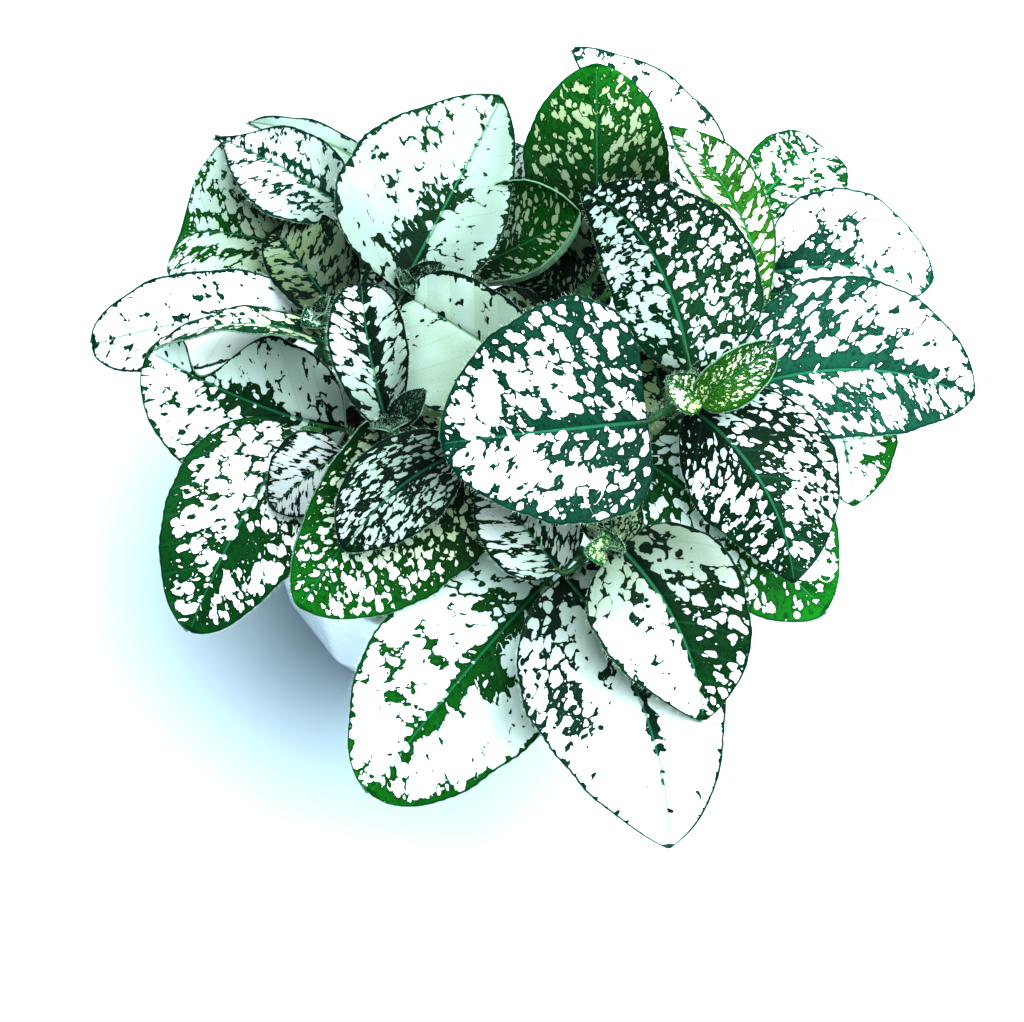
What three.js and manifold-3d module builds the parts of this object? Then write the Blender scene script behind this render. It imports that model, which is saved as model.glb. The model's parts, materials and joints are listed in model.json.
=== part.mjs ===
// A polka dot plant in a twelve-sided white pot.
// Millimetres, +Z up. The origin is the middle of the pot's foot, and the front of the plant faces -Y.

import * as THREE from 'three';
import { mergeVertices } from 'three/addons/utils/BufferGeometryUtils.js';
import Module from 'manifold-3d';

const wasm = await Module();
wasm.setup();

// The pot: twelve flat sides, a tall band above a shorter one that tapers to the foot
const potSides = 12;
const potCornerAngle = 232.2; // degrees from +X to the corner that shows at the front left
const footRadius = 32;
const girdleRadius = 41.5;
const girdleHeight = 32;
const rimRadius = 42.5;
const potHeight = 70;
const potWall = 3.5;
const potFloor = 6;

// The soil and the stems that stand in it
const fitGap = 0.3; // air left between pieces that touch
const soilLevel = 58;
const holeDepth = 14;
const holeSides = 12;
const pegHeight = 2; // how far the straight foot of a stem reaches above the soil
const stemRadius = 1.8;
const stemSides = 6;
const stemSteps = 5;
const stemRise = 0.45; // the share of its height over which a stem leaves the soil upright
const crownRise = 0.35; // the share of its height over which it turns up again at its crown
const crownLean = 0.25; // how much of its lean is left there

// The leaf stalks
const stalkRadius = 0.9;
const stalkSides = 5;
const stalkSteps = 3;
const stalkReach = 2; // how far a stalk runs on under its blade, as the raised midrib
const stalkFall = 0.35; // how far below its blade a stalk leaves the stem, for each mm between them
const stalkLift = 0.25; // how much of that distance it first rises with the stem
const lowestStalk = 6; // above the soil

// The blades
const bladeThickness = 0.8;
const narrowest = 1; // the width at which a blade starts and ends
const bladeGrid = { along: 7, across: 4 };
const lowGrid = { along: 5, across: 2 }; // for the lower leaves, which the upper ones hide
const youngGrid = { along: 3, across: 2 };
const youngLength = 15;

// Each stem leans out of the pot: where it stands in the soil, and where its crown ends
const stems = {
  right: { foot: [24, -4], top: [59, -11, 129] },
  front: { foot: [16, -22], top: [42, -41, 114] },
  middle: { foot: [-8, -14], top: [-7, -12, 115] },
  back_left: { foot: [-4, 18], top: [-4, 29, 111] },
  back: { foot: [20, 22], top: [44, 46, 104] },
  left: { foot: [-26, 6], top: [-26, 27, 103] },
};

// How a blade lies unless its own row says otherwise. Its upper side looks along face. The midrib
// bows up by arch and to the right by sweep, in mm. Both halves fold up from the midrib by fold
// degrees, then curl up by left and right degrees out to the margin. The blade is widest at the
// share widest of its length, a low point makes its ends blunt, and lean makes its right half wider
// than its left by that share. A notch takes a share out of the right half around one place.
const plainBlade = {
  face: [0, -0.5, 1],
  arch: 3,
  sweep: 0,
  fold: 8,
  left: 0,
  right: 0,
  widest: 0.38,
  point: 0.75,
  lean: 0,
  notch: { at: 0, depth: 0, span: 1 },
};

function leaf(name, stem, base, tip, width, shape = {}) {
  const grid = vector(base).distanceTo(vector(tip)) < youngLength ? youngGrid : bladeGrid;
  return { name, stem, base, tip, width, grid, ...plainBlade, ...shape };
}

function lowLeaf(name, stem, base, tip, width, shape = {}) {
  return leaf(name, stem, base, tip, width, { arch: 5, grid: lowGrid, ...shape });
}

// Every leaf: its stem, the two ends of its blade in mm, its width in mm, and its shape
const leaves = [
  leaf('right_young', 'right', [61, -14, 131], [77, -3, 136], 11, {
    face: [0.2, -0.6, 1], arch: 2, fold: 20,
  }),
  leaf('right_bud', 'right', [59, -12, 131], [53, -5, 135], 8, { fold: 20, arch: 1 }),
  leaf('centre_back', 'right', [60, -3, 126], [37, 51, 120], 36, {
    face: [-0.2, -0.3, 1], arch: 6, sweep: 6, fold: -20, lean: 0.25,
  }),
  leaf('right_front', 'right', [59, -13, 127], [82, -48, 110], 37, {
    face: [0, -0.3, 1], arch: 6, sweep: -4, fold: -22, lean: -0.18, widest: 0.42,
  }),
  leaf('centre', 'right', [50, -17, 127], [5, -22, 126], 49, {
    arch: 4, lean: 0.14, widest: 0.33, point: 0.6,
  }),
  leaf('far_right', 'right', [73, -3, 119], [127, 0, 109], 38, {
    face: [0, -0.3, 1], arch: 5, sweep: -4, lean: -0.12, widest: 0.4, point: 0.7,
  }),
  leaf('lime_back', 'right', [79, 13, 112], [59, 71, 120], 17, {
    face: [0.5, -0.4, 1], arch: 4, sweep: 6, fold: 15, widest: 0.66, point: 0.9,
  }),
  leaf('right_low', 'right', [49, -17, 112], [92, -46, 92], 40, {
    face: [0, -0.3, 1], arch: 5, lean: -0.15, point: 0.6,
  }),
  leaf('right_behind', 'right', [83, 39, 104], [125, 42, 96], 32, {
    face: [0, -0.3, 1], arch: 5, sweep: -1, lean: -0.2,
  }),
  leaf('right_under', 'right', [97, 8, 96], [102, -16, 86], 24, {
    face: [0.2, -0.3, 1], arch: 2, lean: -0.1,
  }),
  leaf('centre_dark', 'right', [61, -18, 105], [51, 22, 110], 20, { face: [-0.3, -0.4, 1] }),
  leaf('front_young', 'front', [43, -41, 114], [46, -24, 117], 12, { face: [0, -1, 1.2], arch: 1 }),
  leaf('front_right', 'front', [44, -42, 116], [62, -75, 98], 34, {
    face: [0, -0.3, 1], arch: 6, sweep: -3, widest: 0.35,
  }),
  leaf('front_inner', 'front', [31, -45, 110], [14, -20, 108], 21),
  leaf('front_tip', 'front', [32, -43, 104], [55, -98, 80], 43, {
    face: [0, -0.2, 1], arch: 7, sweep: -5, lean: 0.12,
  }),
  leaf('front_left', 'front', [29, -39, 94], [-12, -82, 70], 45, {
    face: [-0.1, -0.3, 1], arch: 6, point: 0.55,
  }),
  leaf('middle_upright', 'middle', [-7, -12, 114], [-14, 22, 124], 18, {
    arch: 2, sweep: -1, widest: 0.58, point: 0.5,
  }),
  leaf('middle_small', 'middle', [-18, -13, 107], [-35, -23, 98], 20, { face: [-0.2, -0.4, 1], arch: 2 }),
  leaf('middle_dark', 'middle', [11, -15, 112], [-17, -37, 104], 22, { sweep: 3, widest: 0.5 }),
  leaf('middle_front', 'middle', [0, -9, 106], [-28, -45, 91], 42, {
    face: [0, -0.4, 1], arch: 4, right: 50, lean: -0.3, widest: 0.28, point: 0.6,
  }),
  leaf('left_front', 'middle', [-30, -1, 96], [-55, -45, 78], 38, {
    face: [-0.2, -0.3, 1], arch: 5, point: 0.6,
  }),
  leaf('middle_pale', 'middle', [8, -3, 98], [-1, 12, 99], 12, { arch: 2, widest: 0.5, point: 0.5 }),
  leaf('left_wavy', 'middle', [-19, -2, 98], [-63, 20, 100], 38, {
    arch: -6, sweep: -2, lean: -0.12, widest: 0.45, point: 0.5, notch: { at: 0.78, depth: 0.75, span: 0.1 },
  }),
  leaf('back_left_white', 'back_left', [-6, 28, 112], [18, 82, 118], 42, {
    face: [0, -0.8, 1], arch: -3, lean: -0.25,
  }),
  leaf('cupped', 'back_left', [3, 41, 98], [37, 54, 108], 36, {
    arch: -6, fold: 0, left: 60, right: 110, widest: 0.6, point: 0.45,
  }),
  leaf('middle_white', 'right', [32, 2, 108], [-5, 27, 112], 32, {
    arch: 2, lean: -0.25, widest: 0.6, point: 0.45,
  }),
  leaf('back_upright', 'back', [42, 47, 96], [41, 83, 129], 37, {
    face: [0, -1, 1], arch: 0, fold: -12, widest: 0.5, point: 0.65,
  }),
  leaf('back_white', 'back', [72, 66, 98], [36, 101, 114], 23, { face: [0.3, -0.2, 1], arch: 4, lean: 0.15 }),
  leaf('back_right', 'back', [78, 63, 90], [102, 94, 86], 26, {
    face: [0, -0.2, 1], lean: 0.2, widest: 0.6, point: 0.5,
  }),
  leaf('back_grey', 'back', [23, 62, 90], [19, 85, 98], 20, { face: [0, -0.4, 1], arch: 2 }),
  leaf('back_dark', 'back', [42, 35, 88], [23, 52, 90], 24, { face: [0, -0.4, 1] }),
  leaf('left_back', 'left', [-33, 53, 94], [-67, 86, 88], 40, {
    face: [0, -0.2, 1], arch: 4, lean: 0.2, widest: 0.5, point: 0.5,
  }),
  leaf('left_narrow', 'left', [-17, 55, 104], [-56, 84, 100], 24, { face: [0, -0.3, 1], arch: 6 }),
  leaf('left_sliver', 'left', [-15, 73, 102], [-48, 90, 99], 9, { face: [0.2, -0.2, 1], arch: 4 }),
  leaf('left_shaded', 'left', [-21, 28, 101], [-39, 55, 100], 22, {
    face: [0, -0.4, 1], arch: 2, lean: 0.25, widest: 0.5, point: 0.5,
  }),
  leaf('far_left', 'left', [-29, 33, 96], [-85, 31, 84], 25, {
    face: [0, -0.3, 1], arch: 6, widest: 0.5, point: 0.5,
  }),
  leaf('left_edge_on', 'left', [-24, 19, 104], [-65, 18, 102], 14, { face: [0, 1, 1], arch: 6 }),
  lowLeaf('under_left_back', 'left', [-30, 40, 82], [-62, 66, 66], 34),
  lowLeaf('under_left', 'left', [-32, 12, 80], [-62, 4, 64], 32),
  lowLeaf('under_left_inner', 'middle', [-18, -2, 84], [-42, -10, 72], 28, { arch: 4 }),
  lowLeaf('under_middle', 'middle', [-6, -12, 86], [-28, -22, 72], 28, { arch: 4 }),
  lowLeaf('under_centre', 'middle', [-1, -12, 86], [14, -26, 82], 22, { arch: 4 }),
  lowLeaf('under_back_left', 'back_left', [-8, 44, 84], [-16, 86, 70], 36, { arch: 6 }),
  lowLeaf('under_back', 'back', [24, 52, 80], [18, 92, 68], 34),
  lowLeaf('under_cupped', 'back', [32, 30, 88], [4, 26, 84], 30, { arch: 4 }),
  lowLeaf('under_centre_back', 'back', [44, 36, 88], [68, 14, 82], 30, { arch: 4 }),
  lowLeaf('under_back_white', 'back', [52, 58, 94], [64, 96, 90], 30, { arch: 4 }),
  lowLeaf('under_far_back', 'back', [66, 46, 84], [104, 54, 72], 32),
  lowLeaf('under_back_right', 'back', [60, 52, 80], [94, 78, 64], 36),
  lowLeaf('under_right', 'right', [70, 4, 90], [108, 18, 72], 34),
  lowLeaf('under_front', 'front', [28, -34, 82], [25, -67, 66], 32),
  lowLeaf('under_front_right', 'front', [40, -32, 90], [80, -26, 76], 32),
  leaf('middle_bud', 'middle', [-6, -11, 116], [1, -5, 121], 7, { fold: 20, arch: 1 }),
  leaf('back_left_bud', 'back_left', [-3, 30, 111], [4, 33, 116], 7, { fold: 20, arch: 1 }),
  leaf('back_bud', 'back', [45, 47, 104], [50, 53, 107], 7, { fold: 20, arch: 1 }),
  leaf('left_bud', 'left', [-26.5, 25, 104], [-29, 20, 109], 7, { fold: 20, arch: 1 }),
  leaf('front_bud', 'front', [41, -42, 114], [36, -44, 118], 7, { fold: 20, arch: 1 }),
];

const radians = THREE.MathUtils.degToRad;

function vector(numbers) {
  return new THREE.Vector3(...numbers);
}

// The midrib at share t of a blade: its point, and the directions along, across and up
function midrib(blade, t) {
  const base = vector(blade.base);
  const chord = vector(blade.tip).sub(base);
  const face = vector(blade.face).normalize();
  const ahead = chord.clone().normalize();
  const side = ahead.clone().cross(face).normalize();
  const up = side.clone().cross(ahead);
  const bow = up.multiplyScalar(blade.arch).addScaledVector(side, blade.sweep);
  const point = base.addScaledVector(chord, t).addScaledVector(bow, 4 * t * (1 - t));
  const along = chord.clone().addScaledVector(bow, 4 * (1 - 2 * t)).normalize();
  const across = along.clone().cross(face).normalize();
  return { point, along, across, up: across.clone().cross(along) };
}

// Half the width of a blade at share t, on its right (side 1) or its left (side -1)
function halfWidth(blade, t, side) {
  const { widest, point, notch } = blade;
  const rise = (point * widest) / (1 - widest);
  const outline = (t / widest) ** rise * ((1 - t) / (1 - widest)) ** point;
  const notched = side > 0 ? 1 - notch.depth * Math.exp(-(((t - notch.at) / notch.span) ** 2)) : 1;
  return Math.max((blade.width / 2) * outline * (1 + side * blade.lean) * notched, narrowest / 2);
}

// A point of the upper side: t runs from base to tip, s from the left margin, -1, to the right, 1
function bladePoint(blade, t, s) {
  const rib = midrib(blade, t);
  const side = s < 0 ? -1 : 1;
  const curl = radians(s < 0 ? blade.left : blade.right) * Math.abs(s);
  const angle = radians(blade.fold) + curl / 2;
  const chordShare = curl === 0 ? 1 : Math.sin(curl / 2) / (curl / 2);
  const reach = Math.abs(s) * halfWidth(blade, t, side) * chordShare;
  return rib.point
    .addScaledVector(rib.across, side * reach * Math.cos(angle))
    .addScaledVector(rib.up, reach * Math.sin(angle));
}

// The direction that the upper side looks in there
function bladeNormal(blade, t, s) {
  const step = 0.01;
  const ahead = bladePoint(blade, Math.min(t + step, 1), s).sub(bladePoint(blade, Math.max(t - step, 0), s));
  const aside = bladePoint(blade, t, Math.min(s + step, 1)).sub(bladePoint(blade, t, Math.max(s - step, -1)));
  return aside.cross(ahead).normalize();
}

// One blade as a thin closed shell, its two faces split into triangles alike
function bladeGeometry(blade) {
  const { along, across } = blade.grid;
  const upper = [];
  const lower = [];
  for (let i = 0; i <= along; i += 1) {
    for (let j = 0; j <= across; j += 1) {
      const t = i / along;
      const s = (2 * j) / across - 1;
      const point = bladePoint(blade, t, s);
      upper.push(...point.toArray());
      lower.push(...point.addScaledVector(bladeNormal(blade, t, s), -bladeThickness).toArray());
    }
  }
  const row = across + 1;
  const count = row * (along + 1);
  const faces = [];
  for (let i = 0; i < along; i += 1) {
    for (let j = 0; j < across; j += 1) {
      const a = i * row + j;
      const [b, c, d] = [a + 1, a + row + 1, a + row];
      faces.push(a, b, c, a, c, d);
      faces.push(count + a, count + c, count + b, count + a, count + d, count + c);
    }
  }
  const margin = [];
  for (let j = 0; j <= across; j += 1) margin.push(j);
  for (let i = 1; i <= along; i += 1) margin.push(i * row + across);
  for (let j = across - 1; j >= 0; j -= 1) margin.push(along * row + j);
  for (let i = along - 1; i > 0; i -= 1) margin.push(i * row);
  margin.forEach((a, k) => {
    const b = margin[(k + 1) % margin.length];
    faces.push(b, a, count + a, b, count + a, count + b);
  });
  const geometry = new THREE.BufferGeometry();
  geometry.setAttribute('position', new THREE.Float32BufferAttribute([...upper, ...lower], 3));
  geometry.setIndex(faces);
  return geometry;
}

// A round section pushed along a path
function rodGeometry(path, radius, sides, steps) {
  const section = new THREE.Shape(
    Array.from({ length: sides }, (_, k) => {
      const angle = (2 * Math.PI * k) / sides;
      return new THREE.Vector2(radius * Math.cos(angle), radius * Math.sin(angle));
    }),
  );
  return new THREE.ExtrudeGeometry(section, { steps, extrudePath: path, bevelEnabled: false });
}

// The stem's path, upright where it leaves the soil and again below its crown
function stemPath(stem) {
  const foot = new THREE.Vector3(...stem.foot, soilLevel + pegHeight / 2);
  const top = vector(stem.top);
  const height = top.z - foot.z;
  const leaning = top.clone().sub(foot).setZ(0).multiplyScalar(crownLean);
  return new THREE.CubicBezierCurve3(
    foot,
    foot.clone().setZ(foot.z + stemRise * height),
    top.clone().sub(leaning).setZ(top.z - crownRise * height),
    top,
  );
}

// The point of a path at a height, found by halving
function pointAtHeight(path, height) {
  let [low, high] = [0, 1];
  for (let k = 0; k < 20; k += 1) {
    const middle = (low + high) / 2;
    if (path.getPoint(middle).z < height) low = middle;
    else high = middle;
  }
  return path.getPoint(low);
}

// A leaf's stalk, from the stem to a little way along the underside of its blade
function stalkPath(blade) {
  const path = stemPath(stems[blade.stem]);
  const start = midrib(blade, 0);
  const level = pointAtHeight(path, start.point.z);
  const fall = stalkFall * level.distanceTo(start.point);
  const lowest = soilLevel + lowestStalk;
  const joint = pointAtHeight(path, Math.max(start.point.z - fall, lowest));
  const span = joint.distanceTo(start.point);
  const below = start.point.clone().addScaledVector(start.up, -bladeThickness);
  return new THREE.CubicBezierCurve3(
    joint,
    joint.clone().setZ(joint.z + stalkLift * span),
    below.clone().addScaledVector(start.along, -stalkLift * span),
    below.addScaledVector(start.along, stalkReach),
  );
}

// Solids for joining and cutting
function solid(geometry) {
  const bare = geometry.clone();
  bare.deleteAttribute('normal');
  bare.deleteAttribute('uv');
  const merged = mergeVertices(bare);
  return new wasm.Manifold(
    new wasm.Mesh({
      numProp: 3,
      vertProperties: new Float32Array(merged.attributes.position.array),
      triVerts: new Uint32Array(merged.index.array),
    }),
  );
}

function geometryOf(shape) {
  const mesh = shape.getMesh();
  const geometry = new THREE.BufferGeometry();
  geometry.setAttribute('position', new THREE.BufferAttribute(mesh.vertProperties, 3));
  geometry.setIndex(new THREE.BufferAttribute(mesh.triVerts, 1));
  return geometry.toNonIndexed();
}

// An upright cylinder between two heights
function post([x, y], radius, sides, low, high) {
  const geometry = new THREE.CylinderGeometry(radius, radius, high - low, sides);
  return geometry.rotateX(Math.PI / 2).translate(x, y, (low + high) / 2);
}

// One leafy stem, grown as one piece: stem, stalks and blades, with any loose scrap dropped
function leafyStemGeometry(name) {
  const stem = stems[name];
  const path = stemPath(stem);
  const footLevel = soilLevel - holeDepth + fitGap;
  const peg = post(stem.foot, stemRadius, stemSides, footLevel, soilLevel + pegHeight);
  let plant = solid(peg).add(solid(rodGeometry(path, stemRadius, stemSides, stemSteps)));
  for (const blade of leaves.filter((row) => row.stem === name)) {
    plant = plant.add(solid(rodGeometry(stalkPath(blade), stalkRadius, stalkSides, stalkSteps)));
    plant = plant.add(solid(bladeGeometry(blade)));
  }
  const [largest] = plant.decompose().sort((a, b) => b.volume() - a.volume());
  return geometryOf(largest);
}

// A profile of [radius, height] points turned round with the pot's flat sides
function turned(profile) {
  const points = profile.map(([radius, height]) => new THREE.Vector2(radius, height));
  const start = radians(potCornerAngle + 90);
  return new THREE.LatheGeometry(points, potSides, start).rotateX(Math.PI / 2);
}

// The inside of the pot follows its outside, a wall's thickness in
function innerRadius(height) {
  if (height > girdleHeight) {
    const share = (height - girdleHeight) / (potHeight - girdleHeight);
    return girdleRadius + share * (rimRadius - girdleRadius) - potWall;
  }
  return footRadius + (height / girdleHeight) * (girdleRadius - footRadius) - potWall;
}

function potGeometry() {
  return turned([
    [0, 0],
    [footRadius, 0],
    [girdleRadius, girdleHeight],
    [rimRadius, potHeight],
    [innerRadius(potHeight), potHeight],
    [innerRadius(girdleHeight), girdleHeight],
    [innerRadius(potFloor), potFloor],
    [0, potFloor],
  ]);
}

// The soil fills the pot, with a plain hole for each stem
function soilGeometry() {
  const bottom = potFloor + fitGap;
  let soil = solid(
    turned([
      [0, bottom],
      [innerRadius(bottom) - fitGap, bottom],
      [innerRadius(girdleHeight) - fitGap, girdleHeight],
      [innerRadius(soilLevel) - fitGap, soilLevel],
      [0, soilLevel],
    ]),
  );
  for (const { foot } of Object.values(stems)) {
    const hole = post(foot, stemRadius + fitGap, holeSides, soilLevel - holeDepth, soilLevel + pegHeight);
    soil = soil.subtract(solid(hole));
  }
  return geometryOf(soil);
}

const glaze = new THREE.MeshStandardMaterial({ color: 0xeef3f7, roughness: 0.25, metalness: 0 });
const peat = new THREE.MeshStandardMaterial({ color: 0x2e231b, roughness: 0.95, metalness: 0 });

function leafMaterial() {
  return new THREE.MeshStandardMaterial({ color: 0x2f7a4a, roughness: 0.5, metalness: 0 });
}

function named(name, geometry, material) {
  const mesh = new THREE.Mesh(geometry, material);
  mesh.name = name;
  return mesh;
}

const plant = new THREE.Group();
plant.add(named('pot', potGeometry(), glaze));
plant.add(named('soil', soilGeometry(), peat));
for (const name of Object.keys(stems)) {
  plant.add(named(`leafy_stem_${name}`, leafyStemGeometry(name), leafMaterial()));
}

export default plant;
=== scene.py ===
# %% [markdown]
# # A polka dot plant in a white pot
# The plant is a bushy houseplant whose green leaves are splashed with white. It grows from soil in a
# small glazed pot with twelve flat sides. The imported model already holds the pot, the soil and every
# leafy stem as plain solids, in metres. This script keeps their places and sizes and gives each of
# them its finer shape and its finish.

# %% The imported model
import json
import math

import bpy
import numpy as np
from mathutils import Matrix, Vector

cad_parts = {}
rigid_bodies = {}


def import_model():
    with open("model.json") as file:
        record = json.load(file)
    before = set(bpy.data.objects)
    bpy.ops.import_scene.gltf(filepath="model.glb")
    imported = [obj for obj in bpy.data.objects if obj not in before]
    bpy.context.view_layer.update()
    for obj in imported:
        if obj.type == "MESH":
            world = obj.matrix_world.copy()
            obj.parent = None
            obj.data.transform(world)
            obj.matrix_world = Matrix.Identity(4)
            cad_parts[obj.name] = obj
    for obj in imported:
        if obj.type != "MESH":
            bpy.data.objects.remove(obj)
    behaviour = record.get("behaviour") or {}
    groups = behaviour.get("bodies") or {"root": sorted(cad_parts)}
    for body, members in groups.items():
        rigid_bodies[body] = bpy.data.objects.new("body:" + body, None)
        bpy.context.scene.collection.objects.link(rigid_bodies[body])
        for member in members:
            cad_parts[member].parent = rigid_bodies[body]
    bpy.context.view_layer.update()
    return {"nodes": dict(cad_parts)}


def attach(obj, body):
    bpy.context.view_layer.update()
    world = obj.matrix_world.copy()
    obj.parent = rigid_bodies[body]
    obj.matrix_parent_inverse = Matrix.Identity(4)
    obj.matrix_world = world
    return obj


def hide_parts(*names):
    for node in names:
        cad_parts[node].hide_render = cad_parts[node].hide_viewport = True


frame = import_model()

MM = 0.001
print("packed nodes:", ", ".join(frame["nodes"]))

# %% [markdown]
# ## The camera
# The photo looks down on the plant from the front, about 62 degrees above the table, from half a
# metre away. An ordinary lens without blur or shift gives its frame, so only the place, the tilt and
# the focal length have to be right.

# %% The camera
sensor_width = 36.0
image_width = 1024
focal_pixels = 1800
camera_place = (0.0205, -0.2181, 0.4637)
camera_height = 62  # degrees above the table

bpy.ops.object.camera_add(location=camera_place, rotation=(math.radians(90 - camera_height), 0, 0))
camera = bpy.context.active_object
camera.name = "camera"
camera.data.sensor_width = sensor_width
camera.data.lens = sensor_width * focal_pixels / image_width
camera.data.clip_start = 0.01
bpy.context.scene.camera = camera
print(f"lens {camera.data.lens:.2f} mm")

# %% [markdown]
# ## Sums for materials
# A material is a board of small boxes joined by wires, and so is the sky. Written out box by box, a
# pattern is hard to read, so a wire gets a class of its own whose plus, minus, times and divide add the
# box that does the sum. A pattern can then be written as a formula.

# %% Sums for materials


def sign(operation):
    """What one sign, such as plus, does to a wire."""
    return lambda self, other: self.sum(operation, other)


class Wire:
    """One output of a box on a board, which sums can be done with."""

    def __init__(self, board, socket):
        self.board = board
        self.socket = socket

    def sum(self, operation, *others, first=None):
        values = [self if first is None else first, *others]
        return self.board.box("ShaderNodeMath", {"operation": operation}, dict(enumerate(values)))

    def __rsub__(self, other):
        return self.sum("SUBTRACT", self, first=other)

    __add__ = __radd__ = sign("ADD")
    __sub__ = sign("SUBTRACT")
    __mul__ = __rmul__ = sign("MULTIPLY")
    __truediv__ = sign("DIVIDE")
    __pow__ = sign("POWER")


class Board:
    """The boxes of one material, or of the sky."""

    def __init__(self, owner):
        self.owner = owner
        self.owner.use_nodes = True
        self.tree = self.owner.node_tree
        self.tree.nodes.clear()

    def box(self, kind, settings=None, inputs=None, output=0):
        node = self.tree.nodes.new(kind)
        for key, value in (settings or {}).items():
            setattr(node, key, value)
        for key, value in (inputs or {}).items():
            if isinstance(value, Wire):
                self.tree.links.new(value.socket, node.inputs[key])
            else:
                node.inputs[key].default_value = value
        return Wire(self, node.outputs[output]) if node.outputs else node

    def carried(self, name, output):
        """What the points of a mesh carry under a name."""
        return self.box("ShaderNodeAttribute", {"attribute_name": name}, output=output)

    def parts(self, name):
        """The three numbers of a vector that the points carry."""
        parts = self.box("ShaderNodeSeparateXYZ", None, {"Vector": self.carried(name, "Vector")})
        return [Wire(self, part) for part in parts.socket.node.outputs]

    def place(self):
        return self.box("ShaderNodeTexCoord", output="Object")

    def step(self, value, low, high):
        """0 below low, 1 above high and smooth between them."""
        inputs = {"Value": value, "From Min": low, "From Max": high}
        return self.box("ShaderNodeMapRange", {"interpolation_type": "SMOOTHSTEP"}, inputs)

    def noise(self, vector, scale, detail=2.0, rough=0.5):
        inputs = {"Vector": vector, "Scale": scale, "Detail": detail, "Roughness": rough}
        return self.box("ShaderNodeTexNoise", None, inputs)

    def mixed(self, share, one, other, blend="MIX"):
        """A mix of two colours."""
        settings = {"data_type": "RGBA", "blend_type": blend}
        return self.box("ShaderNodeMix", settings, {0: share, 6: one, 7: other}, output=2)

    def bump(self, height, distance, strength=1.0):
        inputs = {"Height": height, "Distance": distance, "Strength": strength}
        return self.box("ShaderNodeBump", None, inputs)

    def finish(self, **inputs):
        inputs = {name.replace("_", " "): value for name, value in inputs.items()}
        surface = self.box("ShaderNodeBsdfPrincipled", None, inputs)
        self.box("ShaderNodeOutputMaterial", None, {"Surface": surface})
        return self.owner


def linear(red, green, blue):
    """A screen colour, 0 to 255 each, as the linear colour that materials work in."""
    def decoded(value):
        value /= 255
        return value / 12.92 if value <= 0.04045 else ((value + 0.055) / 1.055) ** 2.4

    return (decoded(red), decoded(green), decoded(blue), 1.0)


def lit(colour, strength):
    """A linear colour times a strength."""
    return (*(part * strength for part in colour), 1.0)


print("a screen grey of 128 is", round(linear(128, 128, 128)[0], 3), "of white in a material")

# %% [markdown]
# ## Light, floor and the colours of the picture
# Daylight from above and the right throws one soft bluish shadow to the lower left. One large round lamp
# does that work, a weak blue sky fills the shadow, and low round the horizon stand the pale walls of the
# room. The floor is plain and nearly white.

# %% Light and floor
lamp_place = (0.48, 0.02, 1.15)
lamp_size = 2.2
lamp_power = 72.0
lamp_colour = (0.88, 0.96, 1.0)
sky_colour = (0.70, 0.88, 1.0)
sky_strength = 0.055
wall_colour = (0.86, 0.94, 0.98)
wall_strength = 1.05
wall_top = 0.28  # how high the walls reach, as the upward part of the looking direction
picture_gamma = 0.7  # under 1, the dark tones go deeper while white stays white
floor_size = 6.0


def aimed(place, target=(0.02, 0, 0.07)):
    """The turn that makes a lamp at a place look at a target."""
    to_target = Vector(target) - Vector(place)
    return to_target.to_track_quat("-Z", "Y").to_euler()


bpy.ops.object.light_add(type="AREA", location=lamp_place, rotation=aimed(lamp_place))
lamp = bpy.context.active_object
lamp.name = "window"
lamp.data.shape = "DISK"
lamp.data.size = lamp_size
lamp.data.energy = lamp_power
lamp.data.color = lamp_colour

board = Board(bpy.data.worlds.new("sky"))
looking = board.box("ShaderNodeTexCoord", output="Generated")
upward = board.box("ShaderNodeSeparateXYZ", None, {"Vector": looking}, output="Z")
walls = board.step(upward, wall_top, 0.0)
sky_light = board.mixed(walls, lit(sky_colour, sky_strength), lit(wall_colour, wall_strength))
background = board.box("ShaderNodeBackground", None, {"Color": sky_light})
board.box("ShaderNodeOutputWorld", None, {"Surface": background})
bpy.context.scene.world = board.owner
bpy.context.scene.view_settings.view_transform = "Standard"
bpy.context.scene.view_settings.gamma = picture_gamma

bpy.ops.mesh.primitive_plane_add(size=floor_size)
floor = bpy.context.active_object
floor.name = "floor"
print("lamp at", lamp_place, "and a floor of", floor_size, "m")

# %% [markdown]
# ## The floor's finish
# The pot stands on something plain, matt and pale. A curved backdrop would hide where it ends, but it
# would throw light back at the plant. So the floor is flat, matt near the pot, and further out it
# turns into a plain glow of the walls' colour, in which its edge is lost.

# %% The floor's finish
floor_near, floor_far = 0.5, 1.6  # m from the pot, where the glow starts and where it is whole
board = Board(bpy.data.materials.new("plain floor"))
grain = board.noise(board.place(), 40.0)
floor_white = board.mixed(grain, linear(226, 240, 250), linear(231, 244, 253))
away = board.box("ShaderNodeVectorMath", {"operation": "LENGTH"}, {0: board.place()}, output="Value")
far = board.step(away, floor_near, floor_far)
dark = (0, 0, 0, 1)
floor_glow = lit(wall_colour, wall_strength)
floor.data.materials.append(board.finish(
    Base_Color=board.mixed(far, floor_white, dark),
    Roughness=0.7,
    Emission_Color=board.mixed(far, dark, floor_glow),
    Emission_Strength=1.0,
))
print("floor material:", floor.data.materials[0].name)

# %% [markdown]
# ## The pot
# It is slip-cast ware with a thick glossy glaze: twelve flat panels lean out from the foot to a crease,
# then stand almost upright to the rim. By hand it is one twelve-cornered disc, extruded and scaled
# ring by ring up the outside and down the inside, and a bevel then rounds the creases as glaze does.

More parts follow.
